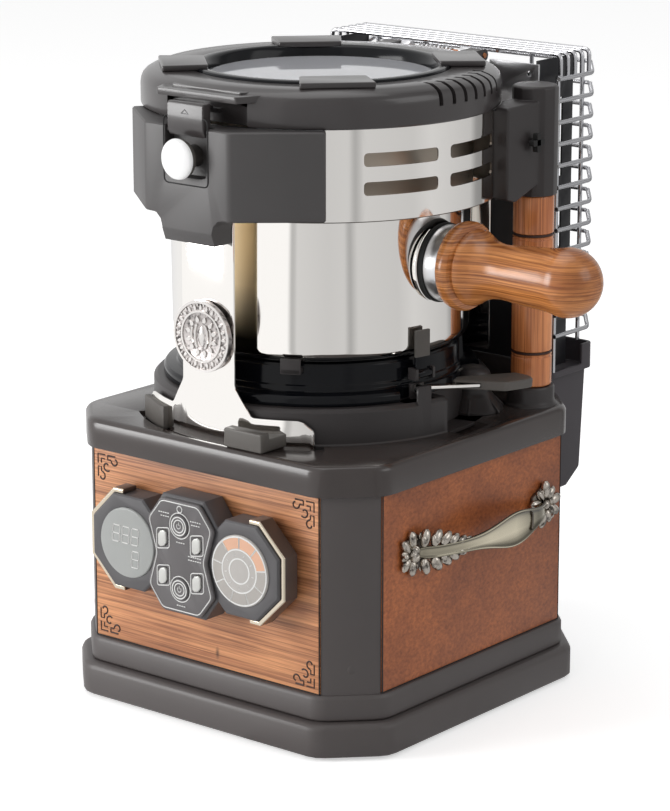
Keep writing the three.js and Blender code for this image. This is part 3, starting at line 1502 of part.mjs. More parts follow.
const tower = new THREE.Group();
tower.position.x = towerX;
roaster.add(tower);
piece('seat_ring', seatRing(), blackPlastic, tower);
piece('deck_clip_left', leftDeckClip(), greyPlastic, tower);
piece('deck_clip_right', rightDeckClip(), greyPlastic, tower);
piece('front_strip', frontStrip(), polishedSteel, tower);
piece('badge', badge(), pewter, tower);
piece('pot', pot(), polishedSteel, tower);
piece('pot_collar', potCollar(), polishedSteel, tower);
piece('pot_handle', potHandle(), turnedWood, tower);
piece('pot_clip', potClip(), greyPlastic, tower);
piece('stirrer', stirrer(), brushedSteel, tower);
piece('upper_sleeve', upperSleeve(), polishedSteel, tower);
piece('latch_housing', latchHousing(), greyPlastic, tower);
piece('latch_button', latchButton(), polishedSteel, tower);
piece('latch_catch', latchCatch(), darkPlastic, tower);
piece('lid', lid(), darkPlastic, tower);
piece('lid_ring', glassRingPiece(), greyPlastic, tower);
piece('lid_glass', lidGlass(), clearGlass, tower);
piece('hinge_rail', hingeRail(), brushedSteel, tower);
piece('hinge_pin', hingePin(), copper, tower);
piece('rear_shroud', rearShroud(), blackSheet, tower);
piece('heat_shield', heatShield(), polishedSteel, tower);
piece('guard_right', guardSide(), brushedSteel, tower);
piece('guard_left', guardSide().scale(-1, 1, 1), brushedSteel, tower);
piece('guard_back', guardBack(), brushedSteel, tower);
piece('guard_top', guardTopPanel(), brushedSteel, tower);
piece('chaff_box', chaffBox(), darkPlastic, tower);
piece('fan_motor', fanMotor(), brushedSteel, tower);
piece('fan_impeller', fanImpeller(), blackPlastic, tower);
piece('heater', heater(), copper, tower);

for (const [side, name] of [[1, 'right'], [-1, 'left']]) {
  piece(`column_${name}`, column(), turnedWood).position.set(side * columnSpread, columnY, 0);
  piece(`column_bracket_${name}`, columnBracket(side), greyPlastic);
}

const lever = new THREE.Group();
lever.position.copy(leverPlace);
lever.rotation.z = radians(leverBearing);
tower.add(lever);
const leverTilt = new THREE.Group();
leverTilt.rotation.y = radians(leverDroop);
lever.add(leverTilt);
piece('lever_arm', leverArm(), brushedSteel, leverTilt);
piece('lever_grip', leverGrip(), greyPlastic, leverTilt);
piece('valve_cap', valveCap(), greyPlastic, tower).position.copy(valvePlace);

export default roaster;
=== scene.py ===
import math
from types import SimpleNamespace

import bpy
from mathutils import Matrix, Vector


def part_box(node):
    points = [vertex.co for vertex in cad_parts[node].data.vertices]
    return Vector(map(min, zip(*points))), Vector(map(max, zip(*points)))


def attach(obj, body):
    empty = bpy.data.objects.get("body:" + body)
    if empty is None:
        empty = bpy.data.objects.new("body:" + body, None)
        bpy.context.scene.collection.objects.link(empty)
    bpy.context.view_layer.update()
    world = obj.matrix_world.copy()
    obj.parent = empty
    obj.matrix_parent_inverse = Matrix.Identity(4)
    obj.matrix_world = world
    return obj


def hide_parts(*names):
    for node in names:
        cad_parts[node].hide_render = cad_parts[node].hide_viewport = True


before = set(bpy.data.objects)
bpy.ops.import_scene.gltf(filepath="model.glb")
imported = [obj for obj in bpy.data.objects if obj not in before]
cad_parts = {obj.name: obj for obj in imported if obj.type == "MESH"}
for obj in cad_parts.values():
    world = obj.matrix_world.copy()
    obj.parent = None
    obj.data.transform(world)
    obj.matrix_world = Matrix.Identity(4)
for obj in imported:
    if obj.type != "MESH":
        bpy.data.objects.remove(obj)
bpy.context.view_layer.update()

bl_info = {
    "name": "Coffee Roaster",
    "version": (1, 0, 0),
    "blender": (4, 5, 0),
    "location": "View3D > Sidebar > Roaster",
    "description": "Electric coffee roaster with a wood-panelled base, a steel pot and a wire guard",
    "category": "Add Mesh",
}

MM = 0.001


# Sizes that can be set


def length(name, default, about):
    """A length property. Its default is given in millimetres."""
    return bpy.props.FloatProperty(
        name=name, description=about, default=default * MM, min=0, unit="LENGTH")


def colour(name, default, about):
    """A colour property. Its default is a screen colour from 0 to 255."""
    return bpy.props.FloatVectorProperty(
        name=name, description=about, default=linear(default), size=3, min=0, max=1,
        subtype="COLOR")


def linear(screen):
    """A screen colour from 0 to 255 as linear light."""
    parts = [value / 255 for value in screen]
    return [p / 12.92 if p <= 0.04045 else ((p + 0.055) / 1.055) ** 2.4 for p in parts]


class StageSettings(bpy.types.PropertyGroup):
    camera_azimuth: bpy.props.FloatProperty(
        name="Camera azimuth", description="From the front towards the right side",
        default=math.radians(39.09), subtype="ANGLE")
    camera_elevation: bpy.props.FloatProperty(
        name="Camera elevation", description="Above the table", default=math.radians(14.66),
        subtype="ANGLE")
    camera_distance: length("Camera distance", 2205.47, "From the camera to its target")
    focal_length: bpy.props.FloatProperty(
        name="Focal length", description="Of the lens in millimetres", default=141.23,
        unit="CAMERA")
    floor: colour("Floor", (252, 252, 252), "Colour of the floor")
    floor_lift: bpy.props.FloatProperty(
        name="Floor lift", description="Light of the floor's own, towards the camera only",
        default=0.5, min=0)


class Finishes(bpy.types.PropertyGroup):
    base_plastic: colour("Base plastic", (76, 70, 69), "Warm dark grey of the base")
    black_plastic: colour("Black plastic", (38, 37, 40), "Glossy ring and hidden plastic")
    grey_plastic: colour("Grey plastic", (64, 61, 61), "Latch housing, clips and lid ring")
    light_wood: colour("Light wood", (234, 166, 114), "Light bands of the front panel")
    dark_wood: colour("Dark wood", (166, 104, 68), "Dark bands of the front panel")
    steel: colour("Steel", (250, 247, 243), "Polished sheet steel")
    pewter: colour("Pewter", (200, 192, 182), "High spots of the pewter castings")
    copper: colour("Copper", (196, 130, 92), "Hinge pin and spring")


class BaseSizes(bpy.types.PropertyGroup):
    width: length("Width", 260, "Across the posts")
    corner: length("Corner", 30, "Leg of each cut-off corner")
    corner_round: length("Corner rounding", 9, "Rounding of the upright corners")
    deck_proud: length("Deck overhang", 3.5, "Of the deck beyond the posts")
    deck_chamfer: length("Deck chamfer", 4, "Along the deck's upper edge")
    ornament: length("Ornament", 20, "Reach of a corner ornament on the wood")


class TowerSizes(bpy.types.PropertyGroup):
    offset: length("Offset", 4, "Of the tower's axis towards the left")
    platform: length("Platform radius", 116, "Round step on the deck")
    seat: length("Seat radius", 99, "Glossy ring under the pot")
    collar: length("Collar radius", 109, "Foot of the glossy ring")
    pot: length("Pot radius", 104, "Outside, below the rim")
    pot_foot: length("Pot foot radius", 93, "Where the pot's corner starts")
    sleeve: length("Sleeve radius", 121, "Polished sleeve under the lid")
    sheet: length("Sheet thickness", 1.4, "Of the pot and the sleeve")
    strip: length("Strip radius", 119, "Inside of the front strip")
    strip_half: length("Strip half width", 22.5, "Of the upright front strip")
    foot_half: length("Strip foot half width", 72, "Of the foot of the front strip")
    badge: length("Badge radius", 24.2, "Round medallion on the strip")
    lid: length("Lid radius", 122.3, "Outside of the lid's skirt")
    glass_ring: length("Glass ring radius", 88, "Ring that holds the glass")


class HandleSizes(bpy.types.PropertyGroup):
    collar: length("Collar radius", 26, "Steel collar behind the wood")
    flange: length("Flange radius", 30, "Widest part of the handle's root")
    neck: length("Neck radius", 18, "Thinnest part of the grip")
    ball: length("Ball radius", 23.2, "Rounded end of the grip")
    column: length("Column radius", 14.1, "Turned wooden columns")
    groove: length("Groove depth", 1.5, "Turned grooves of the columns")


class GuardSizes(bpy.types.PropertyGroup):
    wire: length("Wire radius", 1.6, "Of the guard's wires")
    pitch: length("Rung pitch", 15.2, "Between two rungs")
    rungs: bpy.props.IntProperty(
        name="Rungs", description="Number of rungs on each side", default=13, min=2)
    top_wires: bpy.props.IntProperty(
        name="Top wires", description="Wires that turn over the top", default=5, min=2)


SETTINGS = {"stage": StageSettings, "finishes": Finishes, "base": BaseSizes,
            "tower": TowerSizes, "handle": HandleSizes, "guard": GuardSizes}


def sizes(group):
    """The properties of a group, its lengths in millimetres."""
    values = getattr(bpy.context.scene, "roaster_" + group)
    read = {}
    for name, prop in values.bl_rna.properties.items():
        if prop.type == "FLOAT" and prop.unit == "LENGTH":
            read[name] = getattr(values, name) / MM
        elif prop.type in {"FLOAT", "INT"}:
            read[name] = getattr(values, name)
    return SimpleNamespace(**read)


def corners(node):
    """Lowest and highest corner of a solid in millimetres."""
    low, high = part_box(node)
    return low / MM, high / MM


# Places and outlines, in millimetres


def at(x, y, z):
    return Vector((x, y, z)) * MM


def polar(radius, azimuth, z=0.0):
    """A point round the tower's own axis. Azimuths start at the front, towards the right."""
    turn = math.radians(azimuth)
    return radius * math.sin(turn), -radius * math.cos(turn), z


def rounded(points, radius, steps=5):
    """A closed outline of (x, y) points with every corner filleted."""
    made = []
    count = len(points)
    for i, corner in enumerate(points):
        here = Vector(corner)
        before = (Vector(points[i - 1]) - here)
        after = (Vector(points[(i + 1) % count]) - here)
        reach = min(radius, before.length * 0.45, after.length * 0.45)
        start = here + before.normalized() * reach
        end = here + after.normalized() * reach
        for step in range(steps + 1):
            t = step / steps
            made.append(tuple(start * (1 - t) ** 2 + here * 2 * t * (1 - t) + end * t * t))
    return made


def rectangle(x0, x1, y0, y1):
    return [(x0, y0), (x1, y0), (x1, y1), (x0, y1)]


def disc(radius, x=0.0, y=0.0, steps=48):
    return [(x + radius * math.cos(2 * math.pi * i / steps),
             y + radius * math.sin(2 * math.pi * i / steps)) for i in range(steps)]


def mirrored(points):
    """A closed outline from its right half."""
    return points + [(-x, y) for x, y in reversed(points)]


def base_outline(proud, fillet):
    """Plan of the base: a square with cut-off corners, grown by proud."""
    base = sizes("base")
    half = base.width / 2 + proud
    leg = base.corner + proud * (2 - math.sqrt(2))
    cut_at = half - leg
    return rounded([(cut_at, -half), (half, -cut_at), (half, cut_at), (cut_at, half),
                    (-cut_at, half), (-half, cut_at), (-half, -cut_at), (-cut_at, -half)],
                   fillet)


def sector(inner, outer, start, end, step=3):
    """Plan of a piece of ring between two azimuths."""
    count = max(2, round((end - start) / step))
    angles = [start + (end - start) * i / count for i in range(count + 1)]
    return ([polar(outer, a)[:2] for a in angles]
            + [polar(inner, a)[:2] for a in reversed(angles)])


def flat(points, z):
    """An outline seen from above, at height z."""
    return [at(x, y, z) for x, y in points]


def front(points, y):
    """An outline seen from the front, at depth y."""
    return [at(x, y, z) for x, z in points]


def side(points, x):
    """An outline seen from the right, at place x."""
    return [at(x, y, z) for y, z in points]


# Modelling steps


def select(*objects):
    bpy.ops.object.select_all(action="DESELECT")
    for item in objects:
        item.select_set(True)
    bpy.context.view_layer.objects.active = objects[0]
    return objects[0]


def draw(name, points):
    """Draws edges from point to point. Leaves them selected in edit mode."""
    bpy.ops.object.select_all(action="DESELECT")
    bpy.ops.mesh.primitive_plane_add(size=MM, location=(0, 0, 0))
    made = bpy.context.object
    made.name = made.data.name = name
    bpy.ops.object.mode_set(mode="EDIT")
    bpy.ops.mesh.select_mode(type="VERT")
    bpy.ops.mesh.select_all(action="SELECT")
    bpy.ops.mesh.merge(type="CENTER")
    bpy.ops.transform.translate(value=points[0])
    for here, there in zip(points, points[1:]):
        bpy.ops.mesh.extrude_vertices_move(TRANSFORM_OT_translate={"value": there - here})
    bpy.ops.mesh.select_all(action="SELECT")
    return made


def close_up(made):
    """Merges doubled points, turns the faces outwards and leaves edit mode."""
    bpy.ops.mesh.select_all(action="SELECT")
    bpy.ops.mesh.remove_doubles(threshold=MM / 500)
    bpy.ops.mesh.normals_make_consistent(inside=False)
    bpy.ops.object.mode_set(mode="OBJECT")
    return made


def modify(made, kind, **values):
    """Adds a modifier and applies it."""
    modifier = made.modifiers.new(kind.title(), kind)
    for key, value in values.items():
        setattr(modifier, key, value)
    select(made)
    bpy.ops.object.modifier_apply(modifier=modifier.name)
    return made


def round_edges(made, width, segments=2, limit=28):
    """Rounds the edges that are sharper than limit."""
    return modify(made, "BEVEL", width=width * MM, segments=segments, limit_method="ANGLE",
                  angle_limit=math.radians(limit), miter_outer="MITER_ARC")


def slab(name, outline, depth, edge=0.0, segments=2):
    """A plate: a closed outline, thickened by a vector in millimetres."""
    made = draw(name, outline)
    bpy.ops.mesh.edge_face_add()
    bpy.ops.mesh.extrude_region_move(TRANSFORM_OT_translate={"value": at(*depth)})
    close_up(made)
    return round_edges(made, edge, segments) if edge else made


def block(name, low, high, edge=0.0, segments=2):
    """A block between two corners."""
    (x0, y0, z0), (x1, y1, z1) = low, high
    return slab(name, flat(rectangle(x0, x1, y0, y1), z0), (0, 0, z1 - z0), edge, segments)


TURNING = {"Z": (Vector((1, 0, 0)), Vector((0, 0, 1))),
           "X": (Vector((0, 0, 1)), Vector((1, 0, 0))),
           "Y": (Vector((1, 0, 0)), Vector((0, 1, 0)))}


def turned(name, profile, origin=(0, 0, 0), axis="Z", steps=96, edge=0.0, segments=2):
    """A body turned from its (radius, place along the axis) profile."""
    out, along = TURNING[axis]
    centre = at(*origin)
    made = draw(name, [centre + (out * r + along * s) * MM for r, s in profile])
    bpy.ops.mesh.spin(steps=steps, angle=2 * math.pi, center=centre, axis=along)
    close_up(made)
    return round_edges(made, edge, segments) if edge else made


def ring(name, inner, outer, low, high, origin=(0, 0, 0), axis="Z", steps=96, edge=0.0):
    return turned(name, [(inner, low), (outer, low), (outer, high), (inner, high),
                         (inner, low)], origin, axis, steps, edge)


def combine(made, operation, others):
    for other in others:
        modify(made, "BOOLEAN", operation=operation, object=other, solver="EXACT")
        bpy.data.objects.remove(other)
    return made


def cut(made, *cutters):
    return combine(made, "DIFFERENCE", cutters)


def common(made, cutter):
    return combine(made, "INTERSECT", [cutter])


def join(name, *parts):
    """Makes one object of several."""
    whole = select(*parts)
    if len(parts) > 1:
        bpy.ops.object.join()
    whole.name = whole.data.name = name
    return whole


def freeze(made):
    """Applies the place, the turn and the size of a piece to its mesh."""
    select(made)
    bpy.ops.object.transform_apply(location=True, rotation=True, scale=True)
    return made


def turn(made, azimuth=0.0, shift=(0, 0, 0), tilt=0.0):
    """Turns a piece about the upright axis after tilting it about X, then moves it."""
    made.rotation_euler = (math.radians(tilt), 0, math.radians(azimuth))
    made.location = at(*shift)
    return freeze(made)


def copy_of(made, name):
    """A copy with its own mesh."""
    twin = made.copy()
    twin.data = made.data.copy()
    twin.name = twin.data.name = name
    bpy.context.scene.collection.objects.link(twin)
    return twin


def mirror_of(made, name):
    """A copy on the other side of the middle plane."""
    twin = copy_of(made, name)
    twin.scale.x = -1
    freeze(twin)
    bpy.ops.object.mode_set(mode="EDIT")
    return close_up(twin)


def refined(name, node, edge=0.4, segments=2, limit=28):
    """A copy of a solid with whole flat faces and rounded edges."""
    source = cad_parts[node]
    made = bpy.data.objects.new(name, source.data.copy())
    made.data.name = name
    bpy.context.scene.collection.objects.link(made)
    select(made)
    bpy.ops.object.mode_set(mode="EDIT")
    bpy.ops.mesh.select_all(action="SELECT")
    bpy.ops.mesh.remove_doubles(threshold=MM / 100)
    bpy.ops.mesh.dissolve_limited(angle_limit=math.radians(1))
    bpy.ops.object.mode_set(mode="OBJECT")
    made.data.materials.clear()
    return round_edges(made, edge, segments, limit) if edge else made


def cut_out(name, node, zone, edge=0.0, segments=2, limit=28):
    """The part of a solid that lies in a zone."""
    return common(refined(name, node, edge, segments, limit), zone)


def wires(name, paths, radius, resolution=3, caps=True):
    """Round wires along paths of points."""
    made = []
    for path in paths:
        draw(name, path)
        bpy.ops.object.mode_set(mode="OBJECT")
        bpy.ops.object.convert(target="CURVE")
        line = bpy.context.object
        line.data.bevel_depth = radius * MM
        line.data.bevel_resolution = resolution
        line.data.use_fill_caps = caps
        bpy.ops.object.convert(target="MESH")
        made.append(bpy.context.object)
    return join(name, *made)


def lofted(name, sections):
    """A body bridged over closed sections of points."""
    loops = []
    for section in sections:
        loops.append(draw(name, section + section[:1]))
        bpy.ops.mesh.remove_doubles(threshold=MM / 500)
        bpy.ops.object.mode_set(mode="OBJECT")
    made = join(name, *loops)
    bpy.ops.object.mode_set(mode="EDIT")
    bpy.ops.mesh.select_all(action="SELECT")
    bpy.ops.mesh.bridge_edge_loops()
    bpy.ops.mesh.select_mode(type="EDGE")
    bpy.ops.mesh.select_all(action="DESELECT")
    bpy.ops.mesh.select_non_manifold()
    bpy.ops.mesh.edge_face_add()
    bpy.ops.mesh.select_mode(type="VERT")
    return close_up(made)


def settle(made, body, nodes, look, smooth=35):
    """Gives a finished piece its finish, its body and the solids that it stands for."""
    freeze(made)
    bpy.ops.object.shade_smooth_by_angle(angle=math.radians(smooth))
    made.data.materials.clear()
    made.data.materials.append(finish(look))
    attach(made, body)
    if nodes:
        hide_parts(*nodes)
    return made


def dress(name, node, look, edge, segments=2, body="frame", smooth=35):
    """Shows a solid as one piece in its own shape, with rounded edges."""
    return settle(refined(name, node, edge, segments), body, [node], look, smooth)


# Finishes


def finish(look):
    """The material of a look."""
    return bpy.data.materials[look + "_finish"]


def start_finish(look, tint, roughness, metallic=0.0):
    """A new material with one shader."""
    made = bpy.data.materials.new(look + "_finish")
    made.use_nodes = True
    tree = made.node_tree
    shader = tree.nodes["Principled BSDF"]
    shader.inputs["Base Color"].default_value = (*tint, 1)
    shader.inputs["Roughness"].default_value = roughness
    shader.inputs["Metallic"].default_value = metallic
    made.diffuse_color = (*tint, 1)
    return tree, shader


def add(tree, kind, settings=None, **inputs):
    """A node with its settings and its unlinked inputs."""
    made = tree.nodes.new(kind)
    for key, value in (settings or {}).items():
        setattr(made, key, value)
    for key, value in inputs.items():
        made.inputs[key.replace("_", " ")].default_value = value
    return made


def place_node(tree, scale=(1, 1, 1), spin=(0, 0, 0)):
    """Object coordinates, stretched and turned."""
    source = add(tree, "ShaderNodeTexCoord")
    mapping = add(tree, "ShaderNodeMapping", Scale=scale, Rotation=spin)
    tree.links.new(source.outputs["Object"], mapping.inputs["Vector"])
    return mapping.outputs["Vector"]


def noise(tree, place, scale, detail=4.0, roughness=0.5, distortion=0.0):
    made = add(tree, "ShaderNodeTexNoise", Scale=scale, Detail=detail, Roughness=roughness,
               Distortion=distortion)
    tree.links.new(place, made.inputs["Vector"])
    return made.outputs["Fac"]


def ramp(tree, source, stops):
    """A colour ramp from (place, linear colour) stops."""
    made = add(tree, "ShaderNodeValToRGB")
    strip = made.color_ramp
    while len(strip.elements) < len(stops):
        strip.elements.new(0.5)
    for element, (spot, tint) in zip(strip.elements, stops):
        element.position = spot
        element.color = (*tint, 1)
    tree.links.new(source, made.inputs["Fac"])
    return made.outputs["Color"]


def blend(tree, first, second, factor, mode="MIX"):
    """Mixes two colours by a socket or a number."""
    made = add(tree, "ShaderNodeMix", {"data_type": "RGBA", "blend_type": mode})
    for value, socket in ((factor, made.inputs[0]), (first, made.inputs[6]),
                          (second, made.inputs[7])):
        if isinstance(value, bpy.types.NodeSocket):
            tree.links.new(value, socket)
        elif isinstance(value, (int, float)):
            socket.default_value = value
        else:
            socket.default_value = (*value, 1)
    return made.outputs[2]


def share_along(tree, place, axis, start, end):
    """Where a place lies between a start and an end along an axis, from 0 to 1."""
    parts = add(tree, "ShaderNodeSeparateXYZ")
    share = add(tree, "ShaderNodeMapRange")
    tree.links.new(place, parts.inputs[0])
    tree.links.new(parts.outputs[axis], share.inputs["Value"])
    share.inputs["From Min"].default_value = start
    share.inputs["From Max"].default_value = end
    return share.outputs["Result"]


def bump(tree, shader, height, strength, depth):
    made = add(tree, "ShaderNodeBump", Strength=strength, Distance=depth * MM)
    tree.links.new(height, made.inputs["Height"])
    tree.links.new(made.outputs["Normal"], shader.inputs["Normal"])


def shade(tint, factor):
    return [value * factor for value in tint]


def plastic(name, tint, roughness, grain=0.05, mottle=0.06, coat=0.0, gloss=0.4):
    """Moulded plastic with a fine grain and a faint unevenness of tone."""
    tree, shader = start_finish(name, tint, roughness)
    shader.inputs["Specular IOR Level"].default_value = gloss
    place = place_node(tree)
    tone = noise(tree, place, 18, 3)
    mottled = ramp(tree, tone, [(0.3, shade(tint, 1 - mottle)), (0.7, shade(tint, 1 + mottle))])
    tree.links.new(mottled, shader.inputs["Base Color"])
    if grain:
        bump(tree, shader, noise(tree, place, 1500, 2), grain, 0.1)
    shader.inputs["Coat Weight"].default_value = coat
    shader.inputs["Coat Roughness"].default_value = 0.12


def wood(name, light, dark, grain, roughness=0.42, streaks=0.55, figure=0.35, spread=150,
         fine=460, edge=(0.36, 0.5), knot=None):
    """Oiled wood. grain gives the stretch of the pattern along X, Y and Z."""
    tree, shader = start_finish(name, light, roughness)
    broad = [spread * g for g in grain]
    bands = noise(tree, place_node(tree, broad), 1.0, 5, 0.62, 0.6)
    middle = [(a + b) / 2 for a, b in zip(light, dark)]
    tint = ramp(tree, bands, [(0.3, dark), (0.5, middle), (0.66, light)])
    patches = noise(tree, place_node(tree), 14, 3, 0.5)
    tint = blend(tree, tint, ramp(tree, patches, [(0.35, shade(dark, 0.9)), (0.65, light)]), figure)
    thin = [fine * g if g > 0.5 else 9 for g in grain]
    pores = noise(tree, place_node(tree, thin), 1.0, 3, 0.6, 0.3)
    lines = ramp(tree, pores, [(edge[0], shade(dark, 0.4)), (edge[1], (1, 1, 1))])
    tint = blend(tree, tint, lines, streaks, "MULTIPLY")
    if knot:
        reach = (480, 40, 190)
        apart = add(tree, "ShaderNodeVectorMath", {"operation": "DISTANCE"})
        tree.links.new(place_node(tree, reach), apart.inputs[0])
        apart.inputs[1].default_value = [k * MM * r for k, r in zip(knot, reach)]
        clear = ramp(tree, apart.outputs["Value"], [(0.2, (0.25,) * 3), (1.0, (1, 1, 1))])
        tint = blend(tree, tint, clear, 0.9, "MULTIPLY")
    tree.links.new(tint, shader.inputs["Base Color"])
    bump(tree, shader, pores, 0.12, 0.15)
    shader.inputs["Coat Weight"].default_value = 0.15
    shader.inputs["Coat Roughness"].default_value = 0.25


def metal(name, tint, roughness, brush=None, amount=0.05):
    """Metal, brushed along the axis where the pattern is stretched."""
    tree, shader = start_finish(name, tint, roughness, 1.0)
    if brush:
        tone = noise(tree, place_node(tree, brush), 1.0, 3, 0.6)
        bump(tree, shader, tone, 0.06, 0.05)
    else:
        tone = noise(tree, place_node(tree), 9, 2)
    tree.links.new(ramp(tree, tone, [(0.3, shade(tint, 1 - amount)), (0.7, tint)]),
                   shader.inputs["Base Color"])


def two_sided(name, tint, inner, darker_below=None):
    """Polished outside, satin inside, and dark there below a range of heights."""
    tree, shader = start_finish(name, tint, 0.07, 1.0)
    source = add(tree, "ShaderNodeTexCoord")
    facing = add(tree, "ShaderNodeVectorMath", {"operation": "DOT_PRODUCT"})
    tree.links.new(source.outputs["Object"], facing.inputs[0])
    tree.links.new(source.outputs["Normal"], facing.inputs[1])
    # The inner face darkens towards the bottom, nearly to black below the lower of the given
    # heights.
    if darker_below:
        height = share_along(tree, source.outputs["Object"], "Z", darker_below[0] * MM, darker_below[1] * MM)
        inner = ramp(tree, height, [(0.0, shade(inner, 0.03)), (1.0, inner)])
    outside = ramp(tree, facing.outputs["Value"], [(0.0, (0, 0, 0)), (0.02, (1, 1, 1))])
    tree.links.new(blend(tree, inner, tint, outside), shader.inputs["Base Color"])
    tree.links.new(ramp(tree, facing.outputs["Value"], [(0.0, (0.4,) * 3), (0.02, (0.06,) * 3)]),
                   shader.inputs["Roughness"])


def banded(name, tint, above, height):
    """Polished up to a height, satin above it."""
    tree, shader = start_finish(name, tint, 0.07, 1.0)
    share = share_along(tree, place_node(tree), "Z", (height + 1) * MM, (height + 2) * MM)
    tree.links.new(ramp(tree, share, [(0.0, tint), (1.0, above)]), shader.inputs["Base Color"])
    tree.links.new(ramp(tree, share, [(0.0, (0.06,) * 3), (1.0, (0.45,) * 3)]),
                   shader.inputs["Roughness"])


def antique(name, tint, roughness):
    """Cast pewter with dark hollows left in its relief."""
    tree, shader = start_finish(name, tint, roughness, 1.0)
    place = place_node(tree)
    dark = noise(tree, place, 240, 4, 0.6)
    tree.links.new(ramp(tree, dark, [(0.34, shade(tint, 0.14)), (0.52, tint)]),
                   shader.inputs["Base Color"])
    bump(tree, shader, noise(tree, place, 380, 3), 0.12, 0.2)


def painted_sheen_metal(name, tint, dark, roughness):
    """Cast metal with painted light: a painted highlight where the surface faces out sideways,
    painted shade where it turns up or down, and along Y painted shade towards both ends and near the
    arc, brightest in the middle.
    """
    tree, shader = start_finish(name, tint, roughness, 1.0)
    source = add(tree, "ShaderNodeTexCoord")
    # Painted highlight and painted shade by how far the surface faces up or down.
    facing = share_along(tree, source.outputs["Normal"], "Z", -1, 1)
    across = ramp(tree, facing, [
        (0.06, dark), (0.3, shade(tint, 0.36)), (0.44, shade(tint, 0.8)), (0.53, tint),
        (0.64, shade(tint, 0.6)), (0.78, shade(tint, 0.3)), (0.95, dark)])
    low, high = corners("pull_right")
    # Painted shade along Y, darker towards both ends of the pull and near the arc, with a painted
    # highlight in the middle.
    reach = share_along(tree, source.outputs["Object"], "Y", low.y * MM, high.y * MM)
    levels = ((0.06, 0.4), (0.26, 0.55), (0.42, 0.95), (0.6, 1), (0.7, 0.6), (0.78, 0.45),
              (0.9, 0.75))
    along = ramp(tree, reach, [(spot, (level,) * 3) for spot, level in levels])
    tree.links.new(blend(tree, across, along, 1.0, "MULTIPLY"), shader.inputs["Base Color"])


def plain(name, tint, roughness, metallic=0.0, wear=0.04):
    """Paint, print or enamel with a faint unevenness."""
    tree, shader = start_finish(name, tint, roughness, metallic)
    tone = noise(tree, place_node(tree), 60, 2)
    tree.links.new(ramp(tree, tone, [(0.3, shade(tint, 1 - wear)), (0.7, tint)]),
                   shader.inputs["Base Color"])
    return shader


class ROASTER_OT_finishes(bpy.types.Operator):
    """Make every finish of the roaster"""
    bl_idname = "roaster.finishes"
    bl_label = "Finishes"

    def execute(self, context):
        tints = sizes("finishes")
        plastic("base_plastic", tints.base_plastic, 0.46, gloss=0.62)
        plastic("dark_plastic", linear((54, 50, 50)), 0.38)
        plastic("deck_plastic", linear((62, 55, 53)), 0.25, coat=0.35)
        plastic("lid_plastic", linear((62, 58, 58)), 0.3, coat=0.4)
        plastic("grey_plastic", tints.grey_plastic, 0.48, gloss=0.75)
        plastic("clip_plastic", linear((88, 84, 80)), 0.45)
        plastic("gloss_black", linear((14, 15, 19)), 0.14, grain=0.0, coat=0.1, gloss=0.15)
        plastic("black_plastic", tints.black_plastic, 0.4)
        plastic("housing_plastic", linear((78, 76, 78)), 0.48, gloss=0.62)
        plastic("plate_plastic", linear((98, 95, 96)), 0.45, mottle=0.03)
        wood("front_wood", tints.light_wood, tints.dark_wood, (0.06, 1, 1.5), streaks=0.65,
             edge=(0.36, 0.58), knot=(11.3, -129.5, 53.1))
        wood("side_wood", linear((196, 112, 58)), linear((146, 80, 46)), (1.1, 0.8, 1.1),
             figure=0.6, streaks=0.5, spread=40, fine=430, edge=(0.3, 0.66))
        wood("handle_wood", linear((244, 166, 96)), linear((168, 96, 46)), (0.045, 0.3, 1.4),
             0.24, streaks=0.75, fine=640, edge=(0.32, 0.6))
        wood("column_wood", linear((252, 170, 108)), linear((200, 118, 68)), (1.4, 0.3, 0.045),
             0.24, streaks=0.6, fine=560, edge=(0.32, 0.58))
        metal("mirror_steel", tints.steel, 0.07, amount=0.03)
        two_sided("strip_steel", tints.steel, linear((255, 236, 200)), (258, 292))
        two_sided("sleeve_steel", tints.steel, linear((140, 132, 124)))
        banded("pot_steel", tints.steel, linear((232, 222, 208)), corners("upper_sleeve")[0].z)
        metal("brushed_steel", linear((226, 226, 228)), 0.28, (400, 400, 8))
        metal("chrome_wire", linear((206, 206, 209)), 0.2)
        metal("champagne", linear((222, 210, 190)), 0.2)
        metal("copper", tints.copper, 0.3)
        plastic("rim_brown", linear((74, 64, 60)), 0.35, coat=0.2)
        plastic("chaff_plastic", linear((68, 64, 68)), 0.45)
        antique("pewter", tints.pewter, 0.26)
        antique("badge_plate", linear((190, 184, 182)), 0.3)
        metal("badge_relief", linear((250, 246, 243)), 0.2, amount=0.3)
        # The grip's pewter carries painted highlight and painted shade.
        painted_sheen_metal("bright_pewter", linear((250, 240, 214)), linear((84, 76, 68)), 0.24)
        metal("dark_pewter", linear((142, 134, 126)), 0.4, amount=0.4)
        plastic("black_sheet", linear((34, 34, 37)), 0.34, grain=0.03)
        plain("white_paint", linear((226, 226, 224)), 0.5)
        plain("silver_key", linear((206, 206, 202)), 0.32, 0.3)
        plain("button_white", linear((250, 250, 250)), 0.12, 0.0)
        plain("window_glass", linear((165, 167, 165)), 0.12)
        plain("dial_glass", linear((186, 182, 178)), 0.12)
        plain("sector_grey", linear((176, 171, 166)), 0.2)
        plain("sector_peach", linear((226, 178, 150)), 0.2)
        plain("ornament_brown", linear((58, 32, 20)), 0.6)
        plain("board_green", linear((45, 91, 63)), 0.6)
        plain("rubber", linear((26, 25, 25)), 0.7)
        # The pane's white base colour, in the share that is not transmitted, is painted reflection
        # of the bright room; the high IOR adds real reflection.
        glass = plain("clear_glass", linear((246, 247, 252)), 0.03, wear=0.01)
        glass.inputs["Transmission Weight"].default_value = 0.45
        glass.inputs["IOR"].default_value = 1.8
        return {"FINISHED"}


# Base


